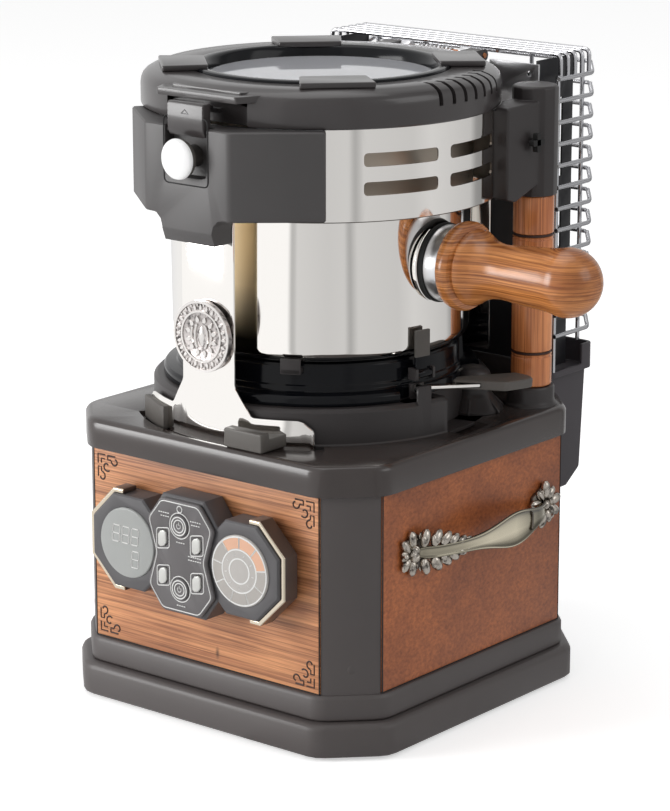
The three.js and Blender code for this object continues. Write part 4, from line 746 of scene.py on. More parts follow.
class ROASTER_OT_base(bpy.types.Operator):
    """Add the bottom plate, the plinth, the posts with their rails and the power inlet"""
    bl_idname = "roaster.base"
    bl_label = "Base"

    def execute(self, context):
        dress("bottom", "bottom_plate", "black_plastic", 0.5)
        dress("plinth_shell", "plinth", "base_plastic", 0.5)
        dress("posts", "base_frame", "base_plastic", 0.6, 3)
        base = sizes("base")
        reach, height = (base.width - base.corner) / math.sqrt(2) - 0.05, 60
        dome = turned("bump", [(0, -0.5), (2, -0.42), (3.6, -0.1), (4.2, 0.3), (0, 0.3)],
                      (0, 0, 0), "Y", 24)
        dome.scale = (0.7, 1, 0.8)
        freeze(dome)
        bumps = [turn(copy_of(dome, "bump"), azimuth, polar(reach, azimuth, height))
                 for azimuth in (45, 135, 225, 315)]
        bpy.data.objects.remove(dome)
        settle(join("post_bumps", *bumps), "frame", ["base_frame"],
               "base_plastic")
        dress("inlet", "power_inlet", "black_plastic", 0.3)
        dress("rear_panel", "panel_rear", "dark_plastic", 0.4, smooth=20)
        return {"FINISHED"}


def corner_ornament(name):
    """A carved fret with two curls, for the corner at the lower left."""
    unit = sizes("base").ornament / 20

    def curl(x, z, radius, start, sweep):
        count = 9
        return [(x + radius * (1 - 0.55 * i / count) * math.cos(start + sweep * i / count),
                 z + radius * (1 - 0.55 * i / count) * math.sin(start + sweep * i / count))
                for i in range(count + 1)]

    paths = [
        [(2, 18), (2, 11), (5, 11), (5, 14)], [(2, 8.5), (2, 2), (8.5, 2)],
        [(11, 2), (18, 2)], [(14, 5), (11, 5), (11, 2)],
        [(5, 8), (5, 5), (8, 5)],
        curl(5.5, 17.5, 3.4, -1.6, 4.6), curl(17.5, 5.5, 3.4, 3.2, -4.6),
        curl(10, 10, 3.6, 0.8, 4.8),
    ]
    lines = [[at(x * unit, 0, z * unit) for x, z in path] for path in paths]
    return wires(name, lines, 0.72, 1)


class ROASTER_OT_panels(bpy.types.Operator):
    """Add the three wooden panels and the carved corners of the front one"""
    bl_idname = "roaster.panels"
    bl_label = "Wooden panels"

    def execute(self, context):
        groove = 0.3
        for name, look in (("front", "front_wood"), ("right", "side_wood"),
                           ("left", "side_wood")):
            node = "panel_" + name
            dress("wood_" + name, node, look, 0.5)
            low, high = corners(node)
            if name == "front":
                loop = front(rectangle(low.x, high.x, low.z, high.z), low.y + groove)
            else:
                face_x = high.x - groove if name == "right" else low.x + groove
                loop = side(rectangle(low.y, high.y, low.z, high.z), face_x)
            settle(wires("seam_" + name, [loop + loop[:1]], 0.55, 1), "frame", [node],
                   "rubber")
        low, high = corners("panel_front")
        first = corner_ornament("ornament_1")
        inset = 2
        others = [copy_of(first, f"ornament_{i}") for i in (2, 3, 4)]
        spots = [(low.x + inset, low.z + inset, 1, 1), (high.x - inset, low.z + inset, -1, 1),
                 (low.x + inset, high.z - inset, 1, -1), (high.x - inset, high.z - inset, -1, -1)]
        for piece, (x, z, across, up) in zip([first, *others], spots):
            select(piece)
            piece.scale = (across, 1, up)
            piece.location = at(x, low.y + 0.25, z)
            settle(piece, "frame", [], "ornament_brown")
        return {"FINISHED"}


# Deck


class ROASTER_OT_deck(bpy.types.Operator):
    """Add the deck with its round platform, column cups, lever ears and clips"""
    bl_idname = "roaster.deck"
    bl_label = "Deck"

    def execute(self, context):
        base, tower = sizes("base"), sizes("tower")
        axis = (-tower.offset, 0, 0)
        low, high = corners("deck")
        column_low, column_high = corners("column_right")
        seat_low, _ = corners("seat_ring")
        bottom, top = low.z, corners("deck_clip_right")[0].z - 0.3
        platform_top = seat_low.z - 0.3
        cap = slab("deck_cap", flat(base_outline(base.deck_proud, base.corner_round), bottom),
                   (0, 0, top - bottom))
        bpy.ops.object.mode_set(mode="EDIT")
        bpy.ops.mesh.select_all(action="DESELECT")
        bpy.ops.object.mode_set(mode="OBJECT")
        for face in cap.data.polygons:
            face.select = face.normal.z > 0.9
        bpy.ops.object.mode_set(mode="EDIT")
        bpy.ops.mesh.select_mode(type="FACE")
        bpy.ops.mesh.bevel(offset=base.deck_chamfer * MM, segments=3, profile=0.4)
        bpy.ops.object.mode_set(mode="OBJECT")
        groove = slab("groove", flat(sector(tower.platform + 0.3, tower.strip + 8.8, -40, 40),
                                     top - 3), (0, 0, 6))
        sump = slab("sump", flat(sector(101.5, 128, 87, 102), top - 4), (0, 0, 8))
        hole = turned("hole", [(0, bottom - 1), (70, bottom - 1), (70, top + 1), (0, top + 1)])
        for cutter in (groove, sump, hole):
            turn(cutter, shift=axis)
        cut(cap, groove, sump, hole)
        round_edges(cap, 0.5, 2, 40)
        settle(cap, "frame", ["deck"], "deck_plastic")

        radius = tower.platform
        step = turned("deck_platform", [
            (75, top - 2), (radius + 1, top - 2), (radius + 1, top + 0.2),
            (radius + 0.2, top + 1.2), (radius, platform_top - 2.6),
            (radius - 2.6, platform_top), (75, platform_top), (75, top - 2)], steps=120)
        recess = slab("recess", flat(sector(100.5, 150, 86, 126), top), (0, 0, 40))
        cut(step, recess)
        rear = block("rear", (-92, 106, top - 1), (92, 120, platform_top), 0.8)
        join("deck_platform", step, rear)
        round_edges(step, 0.6, 2, 40)
        turn(step, shift=axis)
        settle(step, "frame", ["deck"], "dark_plastic")

        cup_top = column_low.z - 0.3
        cup = turned("deck_cup_right", [
            (0, top - 1), (18.6, top - 1), (18.2, top + 1.2), (16.8, top + 2.6),
            (16.3, top + 4.5), (16.3, cup_top - 1.6), (15.6, cup_top), (0, cup_top)],
            ((column_low.x + column_high.x) / 2, (column_low.y + column_high.y) / 2, 0),
            steps=64, edge=0.3)
        settle(mirror_of(cup, "deck_cup_left"), "frame", ["deck"], "dark_plastic")
        settle(cup, "frame", ["deck"], "dark_plastic")

        zone = block("zone", (94, -40, top + 3), (112, -15, high.z + 1))
        settle(cut_out("lever_ears", "deck", zone), "frame", ["deck"],
               "dark_plastic")
        for name in ("left", "right"):
            dress("clip_" + name, "deck_clip_" + name, "clip_plastic", 0.6)
        return {"FINISHED"}


# Control panel


CONTROL_SPREAD = 50


def control_middle():
    low, high = corners("control_housing")
    return (low.z + high.z) / 2


class ROASTER_OT_control(bpy.types.Operator):
    """Add the control panel's housing, its centre plate, rims and round windows"""
    bl_idname = "roaster.control"
    bl_label = "Control panel"

    def execute(self, context):
        z = control_middle()
        dress("control_body", "control_housing", "housing_plastic", 1.1, 3)
        dress("control_face", "control_plate", "plate_plastic", 0.6)
        for name in ("right", "left"):
            node = "rim_" + name
            low, high = corners(node)
            bright = low.y + 1.1
            for part, start, end, look in (("_edge", low.y - 1, bright, "champagne"),
                                           ("_band", bright + 0.02, high.y + 1, "rim_brown")):
                zone = block("zone", (low.x - 1, start, low.z - 1), (high.x + 1, end, high.z + 1))
                settle(cut_out(node + part, node, zone, 0.3), "frame", [node], look)
        for node, x in (("display_window", -CONTROL_SPREAD), ("dial_window", CONTROL_SPREAD)):
            low, high = corners(node)
            radius = (high.x - low.x) / 2
            window = turned(node + "_pane", [
                (0, low.y), (radius - 0.8, low.y), (radius, low.y + 0.8), (radius, high.y),
                (0, high.y)], (x, 0, z), "Y", edge=0.2)
            settle(window, "frame", [node],
                   "window_glass" if x < 0 else "dial_glass")
        return {"FINISHED"}


KEYS = ("key_power", "key_cool", "key_upper_left", "key_lower_left", "key_upper_right",
        "key_lower_right")


class ROASTER_OT_keys(bpy.types.Operator):
    """Add the two round and the four slanted keys"""
    bl_idname = "roaster.keys"
    bl_label = "Keys"

    def execute(self, context):
        for node in KEYS:
            low, high = corners(node)
            x, z = (low.x + high.x) / 2, (low.z + high.z) / 2
            if node in ("key_power", "key_cool"):
                radius, face = (high.x - low.x) / 2, low.y + 0.3
                key = turned(node + "_cap", [
                    (0, face + 0.2), (radius - 2.6, face + 0.2), (radius - 2.2, face),
                    (radius - 0.8, face), (radius, face + 0.8), (radius, high.y),
                    (0, high.y)], (x, 0, z), "Y", 64, 0.15)
                settle(key, node, [node], "plate_plastic")
                y = face - 0.12
                outer = ring(node + "_ring", radius - 1.7, radius - 0.9, y, y + 0.4,
                             (x, 0, z), "Y", 64)
                inner = ring(node + "_inner", radius - 3.6, radius - 2.9, y + 0.1, y + 0.5,
                             (x, 0, z), "Y", 64)
                arc = [at(x + 1.7 * math.sin(a), y + 0.2, z + 1.7 * math.cos(a))
                       for a in [math.radians(40 + 28 * i) for i in range(11)]]
                stem = [at(x, y + 0.2, z + 0.4), at(x, y + 0.2, z + 2.6)]
                mark = wires(node + "_mark", [arc, stem], 0.28, 1)
                settle(join(node + "_print", outer, inner, mark), node, [],
                       "white_paint")
            else:
                settle(refined(node + "_cap", node, 0.35, 2, 20), node, [node],
                       "silver_key")
        return {"FINISHED"}


SEGMENTS = (((-1, 2), (1, 2)), ((1, 2), (1, 0)), ((1, 0), (1, -2)), ((-1, -2), (1, -2)),
            ((-1, 0), (-1, -2)), ((-1, 2), (-1, 0)), ((-1, 0), (1, 0)))


def digit(name, x, y, z, height):
    """One digit of seven straight bars, slanted a little."""
    wide, tall, lean, gap = height * 0.27, height / 4, 0.1, 0.35
    bars = []
    for (x0, z0), (x1, z1) in SEGMENTS:
        start, end = Vector((x0 * wide, z0 * tall)), Vector((x1 * wide, z1 * tall))
        way = (end - start).normalized() * gap
        bars.append([at(x + p.x + p.y * lean, y, z + p.y) for p in (start + way, end - way)])
    return wires(name, bars, 0.42, 0)


class ROASTER_OT_prints(bpy.types.Operator):
    """Add the digits, the ring of sectors and the white lines of the control panel"""
    bl_idname = "roaster.prints"
    bl_label = "Digits, dial and lines"

    def execute(self, context):
        z = control_middle()
        low, _ = corners("display_window")
        y = low.y - 0.1
        left = -CONTROL_SPREAD
        height = 11.5
        digits = [digit(f"digit_{i}", left - 9.5 + 8.5 * i, y, z + 5.5, height) for i in range(3)]
        digits.append(digit("digit_3", left + 7.5, y, z - 10.5, height))
        settle(join("display_digits", *digits), "frame", [], "white_paint")

        count, right = 9, CONTROL_SPREAD
        colours = {8: "sector_peach", 0: "sector_peach", 1: "sector_peach"}
        parts = {"sector_grey": [], "sector_peach": []}
        for i in range(count):
            middle = 360 * i / count + 20
            plan = [(r * math.sin(math.radians(a)), r * math.cos(math.radians(a)))
                    for r, angles in ((22.6, range(-18, 19, 4)), (15.4, range(18, -19, -4)))
                    for a in [middle + step for step in angles]]
            look = colours.get(i, "sector_grey")
            parts[look].append(slab(f"sector_{i}", front([(right + u, z + v) for u, v in plan], y),
                                    (0, 0.4, 0)))
        for look, made in parts.items():
            settle(join("dial_" + look, *made), "frame", [], look)
        circles = [ring("dial_circle", radius, radius + 1, y, y + 0.4, (right, 0, z), "Y")
                   for radius in (22.7, 14.2, 8)]

        def rays(name, inner, outer, start, thick):
            """Lines that run outwards on the dial, one for each sector."""
            turns = [math.radians(360 * i / count + start) for i in range(count)]
            paths = [[at(right + r * math.sin(a), y + 0.1, z + r * math.cos(a))
                      for r in (inner, outer)] for a in turns]
            return wires(name, paths, thick, 0)

        spokes = rays("spokes", 15.2, 23, 0, 0.5)
        ticks = rays("ticks", 10.8, 12.6, 20, 0.3)
        settle(join("dial_lines", *circles, spokes, ticks), "frame", [],
               "white_paint")

        low, high = corners("control_plate")
        y = low.y - 0.05
        half, tall = (high.x - low.x) / 2, (high.z - low.z) / 2
        shape = mirrored([(16, -tall + 1.8), (half - 1.8, -23), (half - 8.8, 0),
                          (half - 1.8, 23), (16, tall - 1.8)])
        line = [at(x, y, z + v) for x, v in rounded(shape, 3)]
        outlines = [line + line[:1]]
        grow = 2.1
        for node in KEYS[2:]:
            key_low, key_high = corners(node)
            x0, x1 = key_low.x - grow, key_high.x + grow
            z0, z1 = key_low.z - grow, key_high.z + grow
            loop = [at(u, y, v) for u, v in rounded([(x0, z0), (x1, z0 + 2), (x1, z1),
                                                     (x0, z1 - 2)], 2)]
            outlines.append(loop + loop[:1])
        for node in KEYS[:2]:
            key_low, key_high = corners(node)
            x, up = (key_low.x + key_high.x) / 2, (key_low.z + key_high.z) / 2
            radius = (key_high.x - key_low.x) / 2 + 1.3
            loop = [at(u, y, v) for u, v in disc(radius, x, up, 40)]
            outlines.append(loop + loop[:1])
        small = [at(u, y, v) for u, v in disc(2.2, 0, z + tall - 5.6, 20)]
        outlines.append(small + small[:1])
        for u, v, wide in ((-14, 29, 10), (-13, 26.6, 8), (14, 27, 10), (14, 24.6, 8),
                           (0.5, 10.4, 8), (13, 2.4, 12), (13, 0, 12), (0.5, -33.6, 8)):
            for i in range(wide // 2):
                start = u - wide / 2 + 2 * i + 0.3
                outlines.append([at(start, y, z + v), at(start + 1.3, y, z + v)])
        settle(wires("control_lines", outlines, 0.4, 1), "frame", [],
               "white_paint")
        return {"FINISHED"}


# Seat ring and pot


VALVE_PLACE = (105.6, 119.5)


class ROASTER_OT_seat(bpy.types.Operator):
    """Add the glossy ring that carries the pot, with its tabs"""
    bl_idname = "roaster.seat"
    bl_label = "Seat ring"

    def execute(self, context):
        tower = sizes("tower")
        axis = (-tower.offset, 0, 0)
        low, _ = corners("seat_ring")
        pot_low, _ = corners("pot")
        bottom, top = low.z, pot_low.z - 0.3
        seat, collar = tower.seat, tower.collar
        body = turned("seat_body", [
            (82, bottom), (collar, bottom), (collar, bottom + 5), (collar - 1.5, bottom + 7),
            (seat + 1.5, bottom + 7.6), (seat + 0.3, bottom + 9), (seat + 0.2, bottom + 11.5),
            (seat - 1, bottom + 12.2), (seat - 1.8, top - 2.2), (seat - 3.4, top - 0.4),
            (84, top), (82, top), (82, bottom)], steps=120, edge=0.3)
        recess = slab("recess", flat(sector(seat + 1, collar + 4, 68, 126), bottom - 1),
                      (0, 0, 8.4))
        back = block("back", (-99, 105.4, bottom - 2), (99, 130, top + 2))
        room = turned("room", [(0, bottom - 2), (14.6, bottom - 2), (14.6, top + 2),
                               (0, top + 2)], polar(*VALVE_PLACE))
        cut(body, recess, back, room)
        turn(body, shift=axis)
        settle(body, "frame", ["seat_ring"], "gloss_black", 30)
        tabs = []
        for i in range(3):
            foot = block("tab", (-7, -105, top - 6), (7, -95, top - 2), 0.8)
            rise = block("rise", (-7, -105, top - 6), (7, -103.4, top + 4.6), 0.6)
            tabs.append(turn(join("tab", foot, rise), 28 + 120 * i, axis))
        settle(join("seat_tabs", *tabs), "frame", ["seat_ring"],
               "dark_plastic")
        beside = block("zone", (-12, -112, top - 16), (12, -101.5, top + 8))
        within = turned("zone", [(0, bottom - 1), (83, bottom - 1), (83, bottom + 16),
                                 (0, bottom + 16)])
        for name, zone, azimuth in (("seat_ears", beside, 78.5), ("seat_spider", within, 0)):
            part = cut_out(name, "seat_ring", turn(zone, azimuth, axis))
            settle(part, "frame", ["seat_ring"], "dark_plastic")
        return {"FINISHED"}


class ROASTER_OT_pot(bpy.types.Operator):
    """Add the steel pot with its rolled rim, and the clip at its foot"""
    bl_idname = "roaster.pot"
    bl_label = "Pot"

    def execute(self, context):
        tower = sizes("tower")
        axis = (-tower.offset, 0, 0)
        low, high = corners("pot")
        bottom, top, wall = low.z, high.z, tower.sheet
        radius, foot = tower.pot, tower.pot_foot
        waist = radius - 1.5
        corner = waist - foot

        def arc(reach):
            return [(foot + reach * math.sin(a), bottom + corner - reach * math.cos(a))
                    for a in [math.pi / 2 * i / 6 for i in range(7)]]

        rim = high.x + tower.offset
        profile = [(5, bottom), *arc(corner), (radius, top - 6), (rim - 0.9, top - 2.2),
                   (rim, top - 1.2), (rim, top), (rim - 1, top), (radius - wall, top - 4),
                   *reversed(arc(corner - wall)), (5, bottom + wall), (5, bottom)]
        pot = turned("pot_body", profile, steps=144)
        turn(pot, shift=axis)
        settle(pot, "pot", ["pot"], "pot_steel", 40)
        low, high = corners("pot_clip")
        parting, tip = 252, 270
        for name, z0, z1, look in (("pot_clip_hook", parting, tip, "clip_plastic"),
                                   ("pot_clip_foot", low.z - 1, parting - 0.02, "gloss_black")):
            zone = block("zone", (low.x - 1, low.y - 1, z0), (high.x + 1, high.y + 1, z1))
            settle(cut_out(name, "pot_clip", zone, 0.5), "pot_clip", ["pot_clip"],
                   look)
        return {"FINISHED"}


class ROASTER_OT_handle(bpy.types.Operator):
    """Add the pot's handle: steel collar, gasket and turned wooden grip"""
    bl_idname = "roaster.handle"
    bl_label = "Pot handle"

    def execute(self, context):
        tower, handle = sizes("tower"), sizes("handle")
        low, high = corners("pot_handle")
        _, collar_high = corners("pot_collar")
        z = (low.z + high.z) / 2
        origin = (-tower.offset, 0, z)
        start, end = low.x + tower.offset, high.x + tower.offset
        collar_end = collar_high.x + tower.offset
        radius, wood_root = handle.collar, handle.flange
        back = tower.pot - 9
        bodies = [
            ("handle_plate", [(0, back), (radius + 2, back), (radius + 2, tower.pot - 1.2),
                              (radius + 1.4, tower.pot - 0.4), (0, tower.pot - 0.4)],
             "mirror_steel"),
            ("handle_gasket", [(0, tower.pot - 0.2), (radius + 0.6, tower.pot - 0.2),
                               (radius + 0.9, tower.pot + 1), (radius + 0.6, tower.pot + 3.4),
                               (0, tower.pot + 3.4)], "rubber"),
            ("handle_collar", [(0, tower.pot + 3.5), (radius, tower.pot + 3.5),
                               (radius - 0.8, collar_end - 0.6), (radius - 1.4, collar_end),
                               (0, collar_end)], "brushed_steel"),
        ]
        for name, profile, look in bodies:
            part = turned(name, profile, origin, "X", edge=0.25)
            inside = turned("inside", [(0, z - 60), (tower.pot + 0.3, z - 60),
                                       (tower.pot + 0.3, z + 60), (0, z + 60)],
                            (-tower.offset, 0, 0), steps=144)
            cut(part, inside)
            settle(part, "pot", ["pot_collar"], look)
        ball = end - handle.ball
        flange = start + 11
        neck = handle.neck
        dome = [(handle.ball * math.cos(a), ball + handle.ball * math.sin(a))
                for a in [math.pi / 2 * i / 14 for i in range(1, 15)]]
        grip = turned("handle_grip", [
            (0, start), (wood_root - 4, start), (wood_root - 2.4, start + 0.5),
            (wood_root - 1, start + 1.8), (wood_root - 0.4, start + 3.6), (wood_root, start + 6),
            (wood_root - 0.3, start + 8.6), (wood_root - 1.6, flange - 0.6),
            (wood_root - 4, flange), (wood_root - 5, flange + 0.5), (wood_root - 4.8, flange + 1.2),
            (wood_root - 4.3, flange + 2.2), (wood_root - 4.6, flange + 4.6),
            (wood_root - 6, flange + 7), (neck + 4.4, flange + 9.6), (neck + 2.9, flange + 12.4),
            (neck + 1.6, flange + 16.4), (neck + 0.6, flange + 21), (neck + 0.1, flange + 27),
            (neck + 0.6, flange + 34), (neck + 1.6, flange + 44), (neck + 3.2, ball - 10),
            (handle.ball - 0.7, ball - 4), (handle.ball, ball), *dome], origin, "X", 96)
        settle(grip, "pot", ["pot_handle"], "handle_wood", 30)
        return {"FINISHED"}


# Sleeve, strip and badge


VENT_START, VENT_ARC, VENT_GAP = 52.5, 26, 5.2
VENT_ROWS = (22, 41)
VENT_HEIGHT = 9
SEAM_AZIMUTH = 101.5


class ROASTER_OT_sleeve(bpy.types.Operator):
    """Add the polished sleeve with its slots and its seam"""
    bl_idname = "roaster.sleeve"
    bl_label = "Upper sleeve"

    def execute(self, context):
        tower = sizes("tower")
        axis = (-tower.offset, 0, 0)
        low, high = corners("upper_sleeve")
        bottom, top, radius = low.z, high.z, tower.sleeve
        inner = radius - tower.sheet
        sleeve = turned("sleeve_shell", [
            (inner - 4, bottom), (radius - 0.6, bottom), (radius, bottom + 0.7), (radius, top),
            (inner, top), (inner, bottom + 1.6), (inner - 4, bottom + 1.4), (inner - 4, bottom)],
            steps=160)
        half = radius * math.sin(math.radians(VENT_ARC / 2))
        cutters = []
        for row in VENT_ROWS:
            plan = rounded(rectangle(-half, half, bottom + row - VENT_HEIGHT / 2,
                                     bottom + row + VENT_HEIGHT / 2), 3, 6)
            for column in range(2):
                middle = VENT_START + VENT_ARC / 2 + column * (VENT_ARC + VENT_GAP)
                for azimuth in (middle, -middle):
                    cutters.append(turn(slab("vent", front(plan, -radius - 1), (0, 20, 0)),
                                        azimuth))
        seam = turn(block("seam", (-0.8, -radius - 1, bottom + 4), (0.8, -radius + 4, top + 1)),
                    SEAM_AZIMUTH)
        cut(sleeve, *cutters, seam)
        turn(sleeve, shift=axis)
        settle(sleeve, "frame", ["upper_sleeve"], "sleeve_steel", 30)
        return {"FINISHED"}


class ROASTER_OT_strip(bpy.types.Operator):
    """Add the curved front strip with its foot"""
    bl_idname = "roaster.strip"
    bl_label = "Front strip"

    def execute(self, context):
        tower = sizes("tower")
        axis = (-tower.offset, 0, 0)
        low, high = corners("front_strip")
        deck_top = corners("deck_clip_right")[0].z - 0.3
        shoulder = deck_top + 18
        half, foot = tower.strip_half, tower.foot_half
        sheet = slab("strip_sheet", flat(sector(tower.strip, tower.strip + 1.5, -39, 39, 2),
                                         low.z), (0, 0, high.z - low.z))
        plan = rounded(mirrored([
            (half, high.z + 1), (half, shoulder + 18.7), (half + 12, shoulder),
            (foot - 7, shoulder), (foot, shoulder - 7), (foot, low.z - 1)]), 2.5)
        common(sheet, slab("plan", front(plan, -200), (0, 140, 0)))
        round_edges(sheet, 0.3, 2, 40)
        turn(sheet, shift=axis)
        settle(sheet, "frame", ["front_strip"], "strip_steel", 30)
        return {"FINISHED"}


class ROASTER_OT_badge(bpy.types.Operator):
    """Add the round medallion with a beaded border and a coffee bean between leaves"""
    bl_idname = "roaster.badge"
    bl_label = "Medallion"

    def execute(self, context):
        tower = sizes("tower")
        low, high = corners("badge")
        z = (low.z + high.z) / 2
        origin = (-tower.offset, 0, z)
        face, radius = low.y, tower.badge
        plate = turned("badge_plate", [
            (0, face + 1), (radius - 8.6, face + 1), (radius - 8.2, face + 0.9),
            (radius - 7.9, face + 0.2), (radius - 6.9, face + 0.2), (radius - 6.6, face + 0.9),
            (radius - 2, face + 0.9), (radius - 1.6, face), (radius - 0.5, face),
            (radius, face + 0.6), (radius, face + 3.6), (9, face + 3.6), (9, high.y),
            (0, high.y)], origin, "Y", 96)
        settle(plate, "frame", ["badge"], "badge_plate")
        raised = []

        def wheel(pattern, count, start=0.0):
            """Copies of a pattern round the middle of the medallion."""
            for i in range(count):
                twin = copy_of(pattern, "relief")
                twin.rotation_euler.y = 2 * math.pi * i / count + start
                twin.location = at(*origin)
                raised.append(freeze(twin))
            bpy.data.objects.remove(pattern)

        def petal(reach, length, wide):
            """A pointed raised petal that starts at reach above the middle."""
            shape = [(-wide * 0.3, reach), (wide * 0.3, reach), (wide * 0.5, reach + length * 0.4),
                     (0, reach + length), (-wide * 0.5, reach + length * 0.4)]
            return slab("petal", front(rounded(shape, 0.6, 3), face + 0.05), (0, 1, 0), 0.2, 1)

        edge = radius - 6.2
        wheel(petal(edge, 4.1, 2.4), 24)
        wheel(petal(edge + 4.2, -2.2, 1.3), 24, math.pi / 24)
        wheel(petal(9.6, 4.6, 3.4), 12, math.pi / 12)
        for inner, outer in ((radius - 1.8, radius - 0.1), (radius - 8, radius - 6.7)):
            raised.append(ring("edge", inner, outer, face - 0.02, face + 1.2, origin, "Y"))
        bean = turned("bean", [(0, face), (2.2, face + 0.15), (4, face + 0.5), (4.6, face + 1.1),
                               (0, face + 1.1)], (0, 0, 0), "Y", 32)
        bean.scale = (0.62, 1, 1.5)
        bean.location = at(*origin)
        raised.append(freeze(bean))
        scrolls = []
        for side_of in (-1, 1):
            for reach, tall, bulge in ((5.4, 7.6, 2.4), (8.6, 5.6, 1.6)):
                scrolls.append([at(origin[0] + side_of * (reach + bulge * math.cos(a) - bulge),
                                   face + 0.7, z + tall * math.sin(a))
                                for a in [math.radians(-86 + 21.5 * i) for i in range(9)]])
        raised.append(wires("scrolls", scrolls, 0.85, 2))
        settle(join("badge_relief", *raised), "frame", ["badge"], "badge_relief", 40)
        return {"FINISHED"}


# Latch and lid


class ROASTER_OT_latch(bpy.types.Operator):
    """Add the latch housing, its round button and the hooked catch"""
    bl_idname = "roaster.latch"
    bl_label = "Lid latch"

    def execute(self, context):
        tower = sizes("tower")
        dress("latch_block", "latch_housing", "grey_plastic", 1.3, 3)
        low, high = corners("latch_button")
        z = (low.z + high.z) / 2
        radius = (high.z - low.z) / 2
        origin = (-tower.offset, 0, z)
        face_y = corners("latch_housing")[0].y
        rim = rounded(rectangle(-radius - 5.5, radius + 5.5, -radius - 4.5, radius + 13), 4)
        loop = [at(origin[0] + u, face_y, z + v) for u, v in rim]
        settle(wires("latch_pocket_line", [loop + loop[:1]], 0.5, 1), "frame", ["latch_housing"],
               "rubber")
        stem = turned("latch_button_stem", [
            (0, low.y + 3), (radius - 0.6, low.y + 3), (radius - 0.6, low.y + 6.4),
            (radius - 1.2, low.y + 7), (7, low.y + 7), (7, high.y), (0, high.y)],
            origin, "Y", 64, 0.3)
        settle(stem, "latch_button", ["latch_button"], "clip_plastic")
        face = turned("latch_button_face", [
            (0, low.y), (radius * 0.5, low.y + 0.1), (radius * 0.8, low.y + 0.5),
            (radius - 1, low.y + 1.2), (radius - 0.2, low.y + 2), (radius, low.y + 2.9),
            (0, low.y + 2.9)], origin, "Y", 64)
        settle(face, "latch_button", ["latch_button"], "button_white")
        dress("latch_hook", "latch_catch", "lid_plastic", 0.8, 3, "latch_catch")
        catch_low, catch_high = corners("latch_catch")
        y = catch_low.y - 0.05
        up = catch_high.z - 6
        x = -tower.offset
        mark = [at(x - 3, y, up - 1.2), at(x, y, up + 1.4), at(x + 3, y, up - 1.2),
                at(x - 3, y, up - 1.2)]
        settle(wires("catch_mark", [mark], 0.22, 1), "latch_catch", [],
               "black_plastic")
        return {"FINISHED"}


